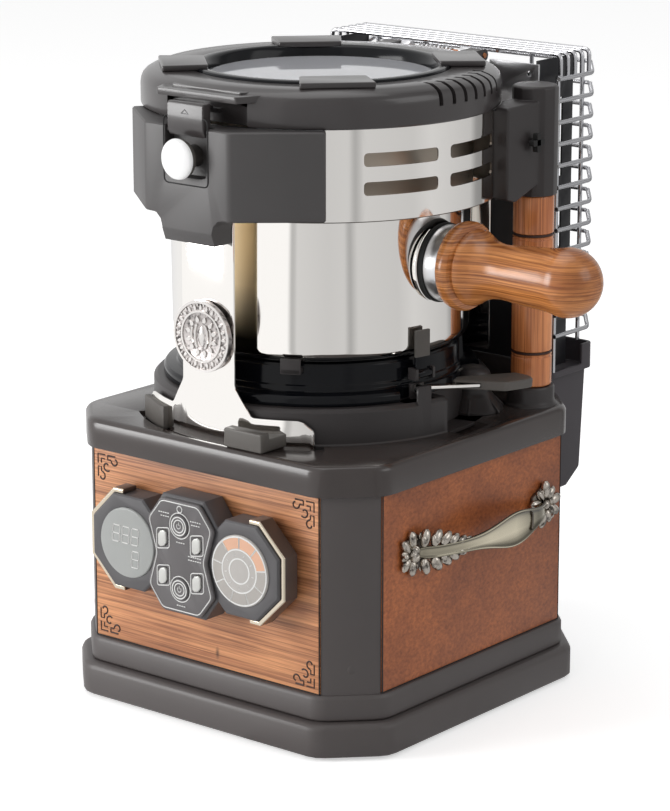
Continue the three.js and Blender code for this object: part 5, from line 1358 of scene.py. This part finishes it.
class ROASTER_OT_lid(bpy.types.Operator):
    """Add the lid with its lip, slots, hinge ears, glass ring, claws and glass"""
    bl_idname = "roaster.lid"
    bl_label = "Lid"

    def execute(self, context):
        tower = sizes("tower")
        axis = (-tower.offset, 0, 0)
        ring_low, ring_high = corners("lid_ring")
        _, sleeve_high = corners("upper_sleeve")
        bottom = sleeve_high.z + 0.3
        shoulder, top = bottom + 20, bottom + 24.5
        outer, wall, recess_radius = tower.lid, 3.2, tower.glass_ring
        shell = turned("lid_shell", [
            (outer - wall, bottom), (outer - 0.8, bottom), (outer - 0.2, bottom + 0.6),
            (outer, bottom + 1.6), (outer, shoulder - 6), (outer - 0.5, shoulder - 3),
            (outer - 1.5, shoulder - 0.6), (outer - 3.2, shoulder + 1.2),
            (outer - 6, shoulder + 2.8), (outer - 9.4, top - 0.5), (outer - 10.6, top),
            (recess_radius + 1.4, top), (recess_radius + 0.3, top - 0.6),
            (recess_radius + 0.3, top - 1.2), (81, top - 1.2), (81, top - 5.2),
            (outer - 12, shoulder - wall), (outer - wall - 1, shoulder - 8),
            (outer - wall, bottom)], steps=160)
        lip_top = shoulder + 1
        recess = block("recess", (-34.5, -140, bottom - 1), (34.5, -outer + 9, lip_top - 4.5))
        vents = [turn(block("vent", (-1.7, -outer - 2, shoulder - 9), (1.7, -outer + 17, top + 4),
                            0.6), 79 + 5.6 * i) for i in range(7)]
        cut(shell, recess, *vents)
        lip = slab("lip", flat(rounded([(-34.5, -128), (34.5, -128), (44.5, -105),
                                        (-44.5, -105)], 2), lip_top - 4.5), (0, 0, 4.5), 0.9, 3)
        back = block("back", (-37.5, -outer + 9, bottom + 0.5), (37.5, -outer + 12.2, shoulder - 1))
        step = slab("step", flat(rounded([(-30, -118), (30, -118), (36, -103), (-36, -103)], 1.5),
                                 lip_top - 1), (0, 0, 2.4), 0.7)
        keeper = block("keeper", (-10, -outer + 5, bottom + 7), (10, -outer + 10, bottom + 10))
        lid = join("lid_shell", shell, lip, back, step, keeper)
        turn(lid, shift=axis)
        settle(lid, "lid", ["lid"], "lid_plastic", 32)
        zone = turn(block("zone", (-60, 110, bottom - 2), (60, 140, top + 8)), shift=axis)
        settle(cut_out("lid_ears", "lid", zone), "lid", ["lid"], "lid_plastic")

        claw_thick, claw_proud, well_depth = 4, 2.4, 11.6
        base, crown = ring_low.z, ring_high.z - 2.2 - claw_proud
        well = crown - well_depth
        collar = turned("lid_ring_body", [
            (72, well), (80.4, well), (80.4, base), (recess_radius, base),
            (recess_radius, crown - 1.6), (recess_radius - 0.7, crown - 0.5),
            (recess_radius - 2.2, crown), (82, crown - 0.1), (80.2, crown - 0.8),
            (79, crown - 2.2), (77.6, well + 4), (76.8, well + 3.9), (76.8, well + 1.4),
            (73, well + 1.4), (72.4, well + 0.8), (72, well)], steps=144)
        plan = rounded([(-25, -109), (25, -109), (22, -78), (-22, -78)], 2)
        claws = [turn(slab("claw", flat(plan, crown + claw_proud - claw_thick),
                           (0, 0, claw_thick), 0.8, 3), 45 + 90 * i) for i in range(4)]
        for piece, look in ((collar, "gloss_black"), (join("lid_claws", *claws), "lid_plastic")):
            turn(piece, shift=axis)
            settle(piece, "lid", ["lid_ring"], look, 32)

        under, over, edge = well + 1.6, well + 4.2, 76.6
        glass = turned("lid_pane", [
            (0, under), (edge - 0.6, under), (edge, under + 0.6),
            (edge, over - 0.6), (edge - 0.6, over), (0, over)], axis, steps=96)
        settle(glass, "lid", ["lid_glass"], "clear_glass")
        return {"FINISHED"}


class ROASTER_OT_hinge(bpy.types.Operator):
    """Add the hinge rail, its pin and the coil spring on it"""
    bl_idname = "roaster.hinge"
    bl_label = "Lid hinge"

    def execute(self, context):
        dress("hinge_bracket", "hinge_rail", "brushed_steel", 0.3)
        low, high = corners("hinge_pin")
        y, z = (low.y + high.y) / 2, (low.z + high.z) / 2
        pin = turned("hinge_axle", [
            (0, low.x), (1.6, low.x), (2, low.x + 0.5), (2, high.x - 0.5), (1.6, high.x),
            (0, high.x)], (0, y, z), "X", 32)
        turns, per_turn, coil_radius = 9, 10, 3.1
        start, end = -20, 12
        coil = [at(start + (end - start) * i / (turns * per_turn),
                   y + coil_radius * math.cos(2 * math.pi * i / per_turn),
                   z + coil_radius * math.sin(2 * math.pi * i / per_turn))
                for i in range(turns * per_turn + 1)]
        spring = wires("hinge_spring", [coil], 0.7, 2)
        settle(pin, "frame", ["hinge_pin"], "copper")
        settle(spring, "frame", ["hinge_pin"], "brushed_steel")
        return {"FINISHED"}


# Columns


class ROASTER_OT_columns(bpy.types.Operator):
    """Add the two turned wooden columns with their upper brackets"""
    bl_idname = "roaster.columns"
    bl_label = "Columns"

    def execute(self, context):
        handle = sizes("handle")
        low, high = corners("column_right")
        middle = ((low.x + high.x) / 2, (low.y + high.y) / 2, 0)
        radius, deep = handle.column, handle.groove
        grooves = []
        groove_heights = (23.5, 106)
        for height in groove_heights:
            z = low.z + height
            grooves += [(radius, z - 3.4), (radius - 0.5, z - 3), (radius - 0.5, z - 2.2),
                        (radius, z - 1.8), (radius, z - 1.5), (radius - deep, z - 0.7),
                        (radius - deep, z + 0.7), (radius, z + 1.5)]
        column = turned("column_turned_right", [
            (0, low.z), (radius - 1, low.z), (radius - 0.3, low.z + 0.4), (radius, low.z + 1.2),
            *grooves, (radius, high.z - 1.2), (radius - 0.3, high.z - 0.4),
            (radius - 1, high.z), (0, high.z)], middle, steps=72, edge=0.2)
        bands = join("column_lines_right", *[
            ring("band", radius - deep - 0.2, radius - 0.5, low.z + height - 0.8,
                 low.z + height + 0.8, middle, steps=72) for height in groove_heights])
        settle(mirror_of(bands, "column_lines_left"), "frame", ["column_left"],
               "ornament_brown")
        settle(bands, "frame", ["column_right"], "ornament_brown")
        settle(mirror_of(column, "column_turned_left"), "frame", ["column_left"],
               "column_wood")
        settle(column, "frame", ["column_right"], "column_wood")
        for name in ("right", "left"):
            node = "column_bracket_" + name
            dress("bracket_" + name, node, "dark_plastic", 0.8, 3)
            low, high = corners(node)
            face_x = high.x if name == "right" else low.x
            y, z, short, long = 70, 386.5, 2, 6.5
            bars = [slab("bar", side(rounded(shape, 1.4, 3), face_x - 2), (4, 0, 0))
                    for shape in (rectangle(y - short, y + short, z - long, z + long),
                                  rectangle(y - long, y + long, z - short, z + short))]
            settle(join("bracket_cross_" + name, *bars), "frame", [node],
                   "rubber")
        return {"FINISHED"}


# Lever and valve cap


class ROASTER_OT_lever(bpy.types.Operator):
    """Add the release lever with its grip, and the ribbed valve cap"""
    bl_idname = "roaster.lever"
    bl_label = "Release lever"

    def execute(self, context):
        dress("lever_strip", "lever_arm", "mirror_steel", 0.3,
              body="release_lever")
        dress("lever_pad", "lever_grip", "clip_plastic", 0.7, 3, "release_lever")
        tower = sizes("tower")
        low, high = corners("valve_cap")
        x, y, _ = polar(*VALVE_PLACE)
        place = (x - tower.offset, y, 0)
        base, top, neck = low.z, high.z, low.z + 12
        body = turned("valve_body", [
            (0, base), (21, base), (21, base + 1.6), (20, base + 2.6), (14.6, neck - 2),
            (12.9, neck), (12.5, neck + 2), (12.5, top - 7), (12, top - 4.6), (10.8, top - 2.8),
            (8.6, top - 1.2), (6, top - 0.4), (0, top)], place, steps=64)
        parts = [body]
        for i in range(6):
            rib = slab("rib", front([(4, base), (23, base), (23, base + 1.5), (12.5, neck),
                                     (4, neck)], -0.9), (0, 1.8, 0), 0.3)
            parts.append(turn(rib, 60 * i, place))
        settle(join("valve_body", *parts), "frame", ["valve_cap"],
               "dark_plastic")
        return {"FINISHED"}


# Carrying pulls


GRIP_LENGTH = 144


def pull_station(share, low, high):
    """Place along the grip, stand-off, half height and dish of the grip at a share of it."""
    along = (low.y + high.y) / 2 + (share - 0.5) * GRIP_LENGTH
    bow = math.sin(math.pi * share) ** 0.55 if 0 < share < 1 else 0
    swell = math.exp(-(((share - 0.6) / 0.2) ** 2))
    return along, low.x + 2.4 + bow * 19.2, 4.6 + 8 * swell, 2.4 * swell


def leaf_lobe(name, length, width, thick):
    """A raised leaf lobe along Y."""
    lobe = turned(name, [(0, 0), (width * 0.3, length * 0.06), (width * 0.48, length * 0.3),
                         (width * 0.5, length * 0.55), (width * 0.42, length * 0.8),
                         (width * 0.22, length * 0.95), (0, length)], (0, 0, 0), "Y", 12)
    lobe.scale.x = thick / width * 2
    return freeze(lobe)


def curl_path(x, y, z, radius, start, sweep, count=12):
    """A small spiral on a plate that faces X."""
    return [at(x, y + radius * (1 - 0.72 * i / count) * math.cos(start + sweep * i / count),
               z + radius * (1 - 0.72 * i / count) * math.sin(start + sweep * i / count))
            for i in range(count + 1)]


class ROASTER_OT_pulls(bpy.types.Operator):
    """Add the two carrying pulls: dished grip, carved leaves and rosette"""
    bl_idname = "roaster.pulls"
    bl_label = "Carrying pulls"

    def execute(self, context):
        low, high = corners("pull_right")
        z = (low.z + high.z) / 2
        zone = block("zone", (low.x - 1, low.y - 1, low.z - 1),
                     (low.x + 2.5, high.y + 1, high.z + 1))
        plates = cut_out("pull_right_plates", "pull_right", zone, 0.3, 1, 40)

        sections = []
        for i in range(19):
            y, x, half, dish = pull_station(i / 18, low, high)
            rim = min(1.9, half * 0.32)
            front_side = [(half, 0.4), (half - rim * 0.35, 1.7), (half - rim, 1.6),
                          (half - rim * 1.5, 0.9 - dish * 0.5), (half * 0.3, 1 - dish),
                          (0, 1.1 - dish)]
            outline = (front_side + [(-u, v) for u, v in reversed(front_side[:-1])]
                       + [(-half * 0.8, -1.6), (0, -2.4), (half * 0.8, -1.6)])
            sections.append([at(x + v, y, z + u) for u, v in outline])
        grip = modify(lofted("pull_right_grip", sections), "SUBSURF", levels=1)

        lobe = leaf_lobe("lobe", 13, 7.6, 3.4)
        leaves = []
        spots = [(-8, 0.8, 166, 0.52), (-7.5, 2.4, 128, 0.8), (-5.5, 3, 146, 0.66),
                 (-3, 3.4, 96, 0.96), (-1, 3.4, 122, 0.7), (3, 3.6, 74, 1.0), (4, 4, 104, 0.66),
                 (9, 3.6, 54, 1.0), (9.5, 3.8, 86, 0.62), (15, 3.4, 40, 0.94), (15.5, 3.6, 70, 0.5),
                 (21, 3.2, 28, 0.84), (22, 3.4, 56, 0.42), (28, 3, 16, 0.7), (34, 3, 9, 0.55)]
        for ahead, lift, lean, size in spots:
            y, x, *_ = pull_station(max(ahead, 0) / GRIP_LENGTH, low, high)
            for up in (1, -1):
                leaf = copy_of(lobe, "leaf")
                leaf.scale = (size, size, size)
                y_at = y + min(ahead, 0)
                leaves.append(turn(leaf, 0, (x - 0.2, y_at, z + up * lift), up * lean))
        y, x, *_ = pull_station(0, low, high)
        for lean in (126, 144, 162, 180, 198, 216, 234):
            leaf = copy_of(lobe, "leaf")
            size = 0.62 if lean in (144, 180, 216) else 0.56
            leaf.scale = (size * 1.6, size, size)
            leaves.append(turn(leaf, 0, (x + 1.2, y + 1, z), lean))
        y, x, *_ = pull_station(1, low, high)
        middle, reach, petals = y + 1.5, 4.6, 9
        for i in range(petals):
            leaf = copy_of(lobe, "leaf")
            size = 0.78 if i % 2 else 0.98
            leaf.scale = (size, size, size)
            lean = 360 / petals * i + 10
            leaves.append(turn(leaf, 0, (x + 0.7, middle + reach * math.cos(math.radians(lean)),
                                         z + reach * math.sin(math.radians(lean))), lean))
        bpy.data.objects.remove(lobe)
        curls, beads = [], []
        y, x, *_ = pull_station(0, low, high)
        for up in (1, -1):
            curls += [curl_path(x + 1.9, y - 4, z + up * 8.6, 3.2, 0.4, up * 5.4),
                      curl_path(x + 1.9, y + 3.5, z + up * 10.6, 3, 0.4, up * 5.4),
                      curl_path(x + 2.3, y + 11, z + up * 9, 2.7, 2.6, up * 5),
                      curl_path(x + 2.6, y + 18, z + up * 7.4, 2.2, 2.6, up * 5),
                      curl_path(x + 1.6, middle - 5.5, z + up * 9.6, 3.2, 3, up * 5.2),
                      curl_path(x + 1.6, middle + 6.5, z + up * 8.4, 3, 0.2, up * 5.2)]
        for u, v, size in ((-11.6, 0, 2.1), (-9, 3.6, 1.6), (-9, -3.6, 1.6), (-5.6, 0, 1.7)):
            beads.append(turned("bead", [(0, -size), (size * 0.7, -size * 0.7), (size, 0),
                                         (size * 0.7, size * 0.7), (0, size)],
                                (x + 1, 0, 0), "Z", 12))
            turn(beads[-1], 0, (0, y + u, z + v))
        beads.append(turned("bead", [(0, 0), (3.4, 0), (3.2, 1.6), (1.8, 2.8), (0, 3.2)],
                            (x + 1, middle, z), "X", 16))
        arc_y, arc_x, half, dish = pull_station(0.74, low, high)
        arc = [at(arc_x + 0.9 - dish * math.cos(a) ** 2, arc_y + 3.5 * math.cos(a),
                  z + half * 0.62 * math.sin(a))
               for a in [math.radians(-80 + 16 * i) for i in range(11)]]
        carving = join("pull_right_carving", *leaves, wires("curl", curls, 0.7, 2), *beads)
        ridge = wires("pull_right_arc", [arc], 0.8, 2)
        # The grip's finish carries painted highlight and painted shade.
        for piece, look in ((plates, "dark_pewter"), (grip, "bright_pewter"),
                            (carving, "pewter"), (ridge, "dark_pewter")):
            twin = mirror_of(piece, piece.name.replace("right", "left"))
            settle(twin, "frame", ["pull_left"], look, 50)
            settle(piece, "frame", ["pull_right"], look, 50)
        return {"FINISHED"}


# Rear shroud, guard and chaff box


TRAY_TOP = 224.5
GUARD_FRONT = 134


class ROASTER_OT_rear(bpy.types.Operator):
    """Add the slotted shroud, the heat shield and the chaff box"""
    bl_idname = "roaster.rear"
    bl_label = "Shroud and chaff box"

    def execute(self, context):
        dress("shroud", "rear_shroud", "black_sheet", 0.3)
        dress("shield", "heat_shield", "mirror_steel", 0.2)
        low, high = corners("chaff_box")
        x0, x1, y0, y1 = low.x + 0.5, high.x - 0.5, low.y + 1, high.y - 0.5
        floor_z, near_z, wall = TRAY_TOP - 19, TRAY_TOP - 14.5, 2.4
        tray = slab("chaff_tray", flat(rounded(rectangle(x0, x1, y0, y1), 6), floor_z),
                    (0, 0, TRAY_TOP - floor_z))
        inside = slab("inside", flat(rounded(rectangle(x0 + wall, x1 - wall, y0 + wall,
                                                       y1 - wall), 4), floor_z + wall),
                      (0, 0, 40))
        low_front = block("low_front", (x0 - 5, y0 - 5, near_z), (x1 + 5, y1 - 14, TRAY_TOP + 5))
        cut(tray, inside, low_front)
        round_edges(tray, 0.8, 3)
        front_y = GUARD_FRONT - 0.2
        body = slab("chaff_body", side([(front_y, floor_z + 2), (front_y, floor_z - 85),
                                        (front_y + 26, floor_z - 85),
                                        (front_y + 42, floor_z - 74),
                                        (front_y + 47, floor_z + 2)], x0 + 5),
                    (x1 - x0 - 10, 0, 0), 2.2, 3)
        settle(join("chaff_tray", tray, body), "frame", ["chaff_box"],
               "chaff_plastic")
        shroud_low, shroud_high = corners("rear_shroud")
        skirts = [block("shroud_skirt", (x - 0.5, GUARD_FRONT, near_z + 0.5),
                        (x + 0.5, GUARD_FRONT + 29, TRAY_TOP + 21), 0.2)
                  for x in (shroud_low.x + 0.6, shroud_high.x - 0.6)]
        settle(join("shroud_skirts", *skirts), "frame", ["rear_shroud"],
               "black_sheet")
        return {"FINISHED"}


class ROASTER_OT_guard(bpy.types.Operator):
    """Add the wire guard's two sides, its back and its top"""
    bl_idname = "roaster.guard"
    bl_label = "Wire guard"

    def execute(self, context):
        tower, guard = sizes("tower"), sizes("guard")
        radius = guard.wire
        axis = (-tower.offset, 0, 0)
        half, y0, depth, bend = 103.5, GUARD_FRONT, 46, 7
        y1 = y0 + depth
        top = corners("guard_top")[1].z - radius
        top_rung = top - 16.5
        rungs = [top_rung - i * guard.pitch for i in range(guard.rungs)]
        drops = [y0 + 3 + i * (depth - 12) / (guard.top_wires - 1)
                 for i in range(guard.top_wires)]
        lap = 1.9

        def soft(start, corner, end, reach=4):
            """Three points of a bend, drawn as a short arc."""
            a, b, c = Vector(start), Vector(corner), Vector(end)
            into = b + (a - b).normalized() * reach
            out = b + (c - b).normalized() * reach
            return [into * (1 - t) ** 2 + b * 2 * t * (1 - t) + out * t * t
                    for t in (0, 0.25, 0.5, 0.75, 1)]

        paths = []
        for z in rungs:
            start, knee = (half, y0 - 2, z), (half, y1 - bend, z)
            end = (half - bend, y1, z + 6.5)
            paths.append([Vector(start), *soft(start, knee, end, 3), Vector(end)])
        inside = half - lap
        paths.append([Vector((inside, y0, TRAY_TOP - 14.2)), Vector((inside, y0, top_rung + 2))])
        for y in drops:
            foot, shoulder, end = (inside, y, top_rung - 1), (inside, y, top), (half - bend, y, top)
            paths.append([Vector(foot), *soft(foot, shoulder, end, 4.4), Vector(end)])
        right = wires("guard_side_right", [[p * MM for p in path] for path in paths], radius)
        left = mirror_of(right, "guard_side_left")
        for piece, node in ((right, "guard_right"), (left, "guard_left")):
            turn(piece, shift=axis)
            settle(piece, "frame", [node], "chrome_wire", 60)

        back_half = half - bend - 0.3 - radius * 0.7
        paths = [[at(-back_half, y1, z + 6.5), at(back_half, y1, z + 6.5)] for z in rungs]
        paths += [[at(s * back_half, y1 - lap, TRAY_TOP + 0.3),
                   at(s * back_half, y1 - lap, top_rung + 8)] for s in (-0.96, -0.5, 0.5, 0.96)]
        back = wires("guard_rear", paths, radius)
        turn(back, shift=axis)
        settle(back, "frame", ["guard_back"], "chrome_wire", 60)
        top_half = half - bend - 0.3
        paths = [[at(-top_half, y, top), at(top_half, y, top)] for y in drops]
        paths += [[at(s * top_half, drops[0] - 1, top - lap),
                   at(s * top_half, drops[-1] + 1, top - lap)] for s in (-0.5, 0.5)]
        roof = wires("guard_roof", paths, radius)
        turn(roof, shift=axis)
        settle(roof, "frame", ["guard_top"], "chrome_wire", 60)
        return {"FINISHED"}


# Pieces inside


INSIDE = {"control_board": "board_green", "stirrer": "brushed_steel", "fan_motor": "black_plastic",
          "fan_impeller": "dark_plastic", "heater": "brushed_steel"}


class ROASTER_OT_inside(bpy.types.Operator):
    """Dress the pieces inside: circuit board, stirrer, fan and heater"""
    bl_idname = "roaster.inside"
    bl_label = "Inside"

    def execute(self, context):
        for node, look in INSIDE.items():
            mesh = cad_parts[node].data
            mesh.materials.clear()
            mesh.materials.append(finish(look))
        return {"FINISHED"}


# Stage


CAMERA_TARGET = (8.04, 0, 198.58)
SOFT_LIGHT = 0.42
# Name, place and size in metres, and power in watts
LAMPS = (("key_light", (-1.75, -2.1, 0.85), 1.4, 52),
         ("fill_light", (2.3, 0.5, 1.5), 1.4, 9),
         ("top_light", (-0.3, 0.1, 2.6), 1.8, 12))


def studio_bands(tree, coordinates):
    """The pale and the darker sides of the studio, as polished steel mirrors them."""
    source = add(tree, "ShaderNodeTexCoord")
    parts = add(tree, "ShaderNodeSeparateXYZ")
    tree.links.new(source.outputs[coordinates], parts.inputs[0])
    bearing = add(tree, "ShaderNodeMath", {"operation": "ARCTAN2"})
    tree.links.new(parts.outputs["Y"], bearing.inputs[0])
    tree.links.new(parts.outputs["X"], bearing.inputs[1])
    share = add(tree, "ShaderNodeMapRange")
    share.inputs["From Min"].default_value = -math.pi
    share.inputs["From Max"].default_value = math.pi
    tree.links.new(bearing.outputs[0], share.inputs["Value"])

    def spot(azimuth):
        """The place on the ramp of a bearing counted from the front."""
        return (azimuth + 90) % 360 / 360

    walls = [(0, 1), (15, 1), (16, 0.5), (19, 0.5), (21, 0.66), (44, 0.6), (56, 0.62), (60, 0.4),
             (66, 0.62), (98, 0.58), (112, 0.66), (148, 0.54), (155, 0.3), (163, 0.25), (170, 0.6),
             (200, 0.7), (258, 0.9), (275, 1), (340, 1)]
    stops = sorted((spot(azimuth), (level, level, level)) for azimuth, level in walls)
    return ramp(tree, share.outputs["Result"], stops)


def mix(tree, share, first, second):
    """Goes from the first shader to the second by a share."""
    made = add(tree, "ShaderNodeMixShader")
    for socket, source in zip(made.inputs, (share, first, second)):
        tree.links.new(source, socket)
    return made.outputs[0]


def straight_ray(tree, ray):
    """1 where a ray comes from the camera or has gone through glass."""
    either = add(tree, "ShaderNodeMath", {"operation": "MAXIMUM"})
    tree.links.new(ray.outputs["Is Camera Ray"], either.inputs[0])
    tree.links.new(ray.outputs["Is Transmission Ray"], either.inputs[1])
    return either.outputs[0]


class ROASTER_OT_stage(bpy.types.Operator):
    """Set the floor, the light and the camera"""
    bl_idname = "roaster.stage"
    bl_label = "Stage"

    def execute(self, context):
        stage = sizes("stage")
        bpy.ops.object.select_all(action="DESELECT")
        bpy.ops.mesh.primitive_plane_add(size=12, location=(0, 0, -0.0002))
        floor = context.object
        floor.name = "floor"
        tree, shader = start_finish("floor", stage.floor, 0.9)
        shader.inputs["Specular IOR Level"].default_value = 0
        ray = add(tree, "ShaderNodeLightPath")
        lift = add(tree, "ShaderNodeEmission", Color=(1, 1, 1, 1), Strength=stage.floor_lift)
        seen = add(tree, "ShaderNodeAddShader")
        tree.links.new(shader.outputs[0], seen.inputs[0])
        tree.links.new(lift.outputs[0], seen.inputs[1])
        camera_look = mix(tree, straight_ray(tree, ray), shader.outputs[0], seen.outputs[0])
        bands = add(tree, "ShaderNodeEmission", Strength=1.0)
        tree.links.new(studio_bands(tree, "Object"), bands.inputs["Color"])
        look = mix(tree, ray.outputs["Is Glossy Ray"], camera_look, bands.outputs[0])
        tree.links.new(look, tree.nodes["Material Output"].inputs["Surface"])
        floor.data.materials.append(finish("floor"))

        world = bpy.data.worlds.new("studio")
        context.scene.world = world
        world.use_nodes = True
        tree = world.node_tree
        soft = tree.nodes["Background"]
        soft.inputs["Color"].default_value = (1, 1, 1, 1)
        soft.inputs["Strength"].default_value = SOFT_LIGHT
        white = add(tree, "ShaderNodeBackground", Color=(1, 1, 1, 1), Strength=1.0)
        ray = add(tree, "ShaderNodeLightPath")
        room = add(tree, "ShaderNodeBackground", Strength=1.0)
        tree.links.new(studio_bands(tree, "Generated"), room.inputs["Color"])
        mirrored_room = mix(tree, ray.outputs["Is Glossy Ray"], soft.outputs[0], room.outputs[0])
        look = mix(tree, straight_ray(tree, ray), mirrored_room, white.outputs[0])
        tree.links.new(look, tree.nodes["World Output"].inputs["Surface"])

        target = at(*CAMERA_TARGET)
        for name, place, size, power in LAMPS:
            bpy.ops.object.light_add(type="AREA", location=place)
            light = context.object
            light.name = name
            light.data.size = size
            light.data.energy = power
            light.rotation_euler = (Vector(place) - target).to_track_quat("Z", "Y").to_euler()

        turn_by, lift = stage.camera_azimuth, stage.camera_elevation
        back = Vector((math.sin(turn_by) * math.cos(lift), -math.cos(turn_by) * math.cos(lift),
                       math.sin(lift)))
        place = target + back * stage.camera_distance * MM
        bpy.ops.object.camera_add(location=place)
        camera = context.object
        camera.name = "camera"
        camera.rotation_euler = back.to_track_quat("Z", "Y").to_euler()
        camera.data.sensor_fit = "VERTICAL"
        camera.data.sensor_height = 36
        camera.data.lens = stage.focal_length
        camera.data.clip_end = 30
        context.scene.camera = camera
        context.scene.view_settings.view_transform = "Standard"
        return {"FINISHED"}


OPERATORS = (
    ROASTER_OT_finishes, ROASTER_OT_base, ROASTER_OT_panels, ROASTER_OT_deck,
    ROASTER_OT_control, ROASTER_OT_keys, ROASTER_OT_prints, ROASTER_OT_seat, ROASTER_OT_pot,
    ROASTER_OT_handle, ROASTER_OT_sleeve, ROASTER_OT_strip, ROASTER_OT_badge,
    ROASTER_OT_latch, ROASTER_OT_lid, ROASTER_OT_hinge, ROASTER_OT_columns,
    ROASTER_OT_lever, ROASTER_OT_pulls, ROASTER_OT_rear, ROASTER_OT_guard,
    ROASTER_OT_inside, ROASTER_OT_stage,
)


class ROASTER_PT_panel(bpy.types.Panel):
    """Sizes and steps of the roaster"""
    bl_idname = "ROASTER_PT_panel"
    bl_label = "Coffee Roaster"
    bl_space_type = "VIEW_3D"
    bl_region_type = "UI"
    bl_category = "Roaster"

    def draw(self, context):
        for group in SETTINGS:
            box = self.layout.box()
            box.label(text=group.title())
            values = getattr(context.scene, "roaster_" + group)
            for name in SETTINGS[group].__annotations__:
                box.prop(values, name)
        column = self.layout.column()
        for step in OPERATORS:
            column.operator(step.bl_idname)


CLASSES = (*SETTINGS.values(), *OPERATORS, ROASTER_PT_panel)


def register():
    for item in CLASSES:
        bpy.utils.register_class(item)
    for group, kind in SETTINGS.items():
        setattr(bpy.types.Scene, "roaster_" + group, bpy.props.PointerProperty(type=kind))


def unregister():
    for group in SETTINGS:
        delattr(bpy.types.Scene, "roaster_" + group)
    for item in reversed(CLASSES):
        bpy.utils.unregister_class(item)


def main():
    register()
    for step in OPERATORS:
        getattr(bpy.ops.roaster, step.bl_idname.split(".")[1])()


if __name__ == "__main__":
    main()
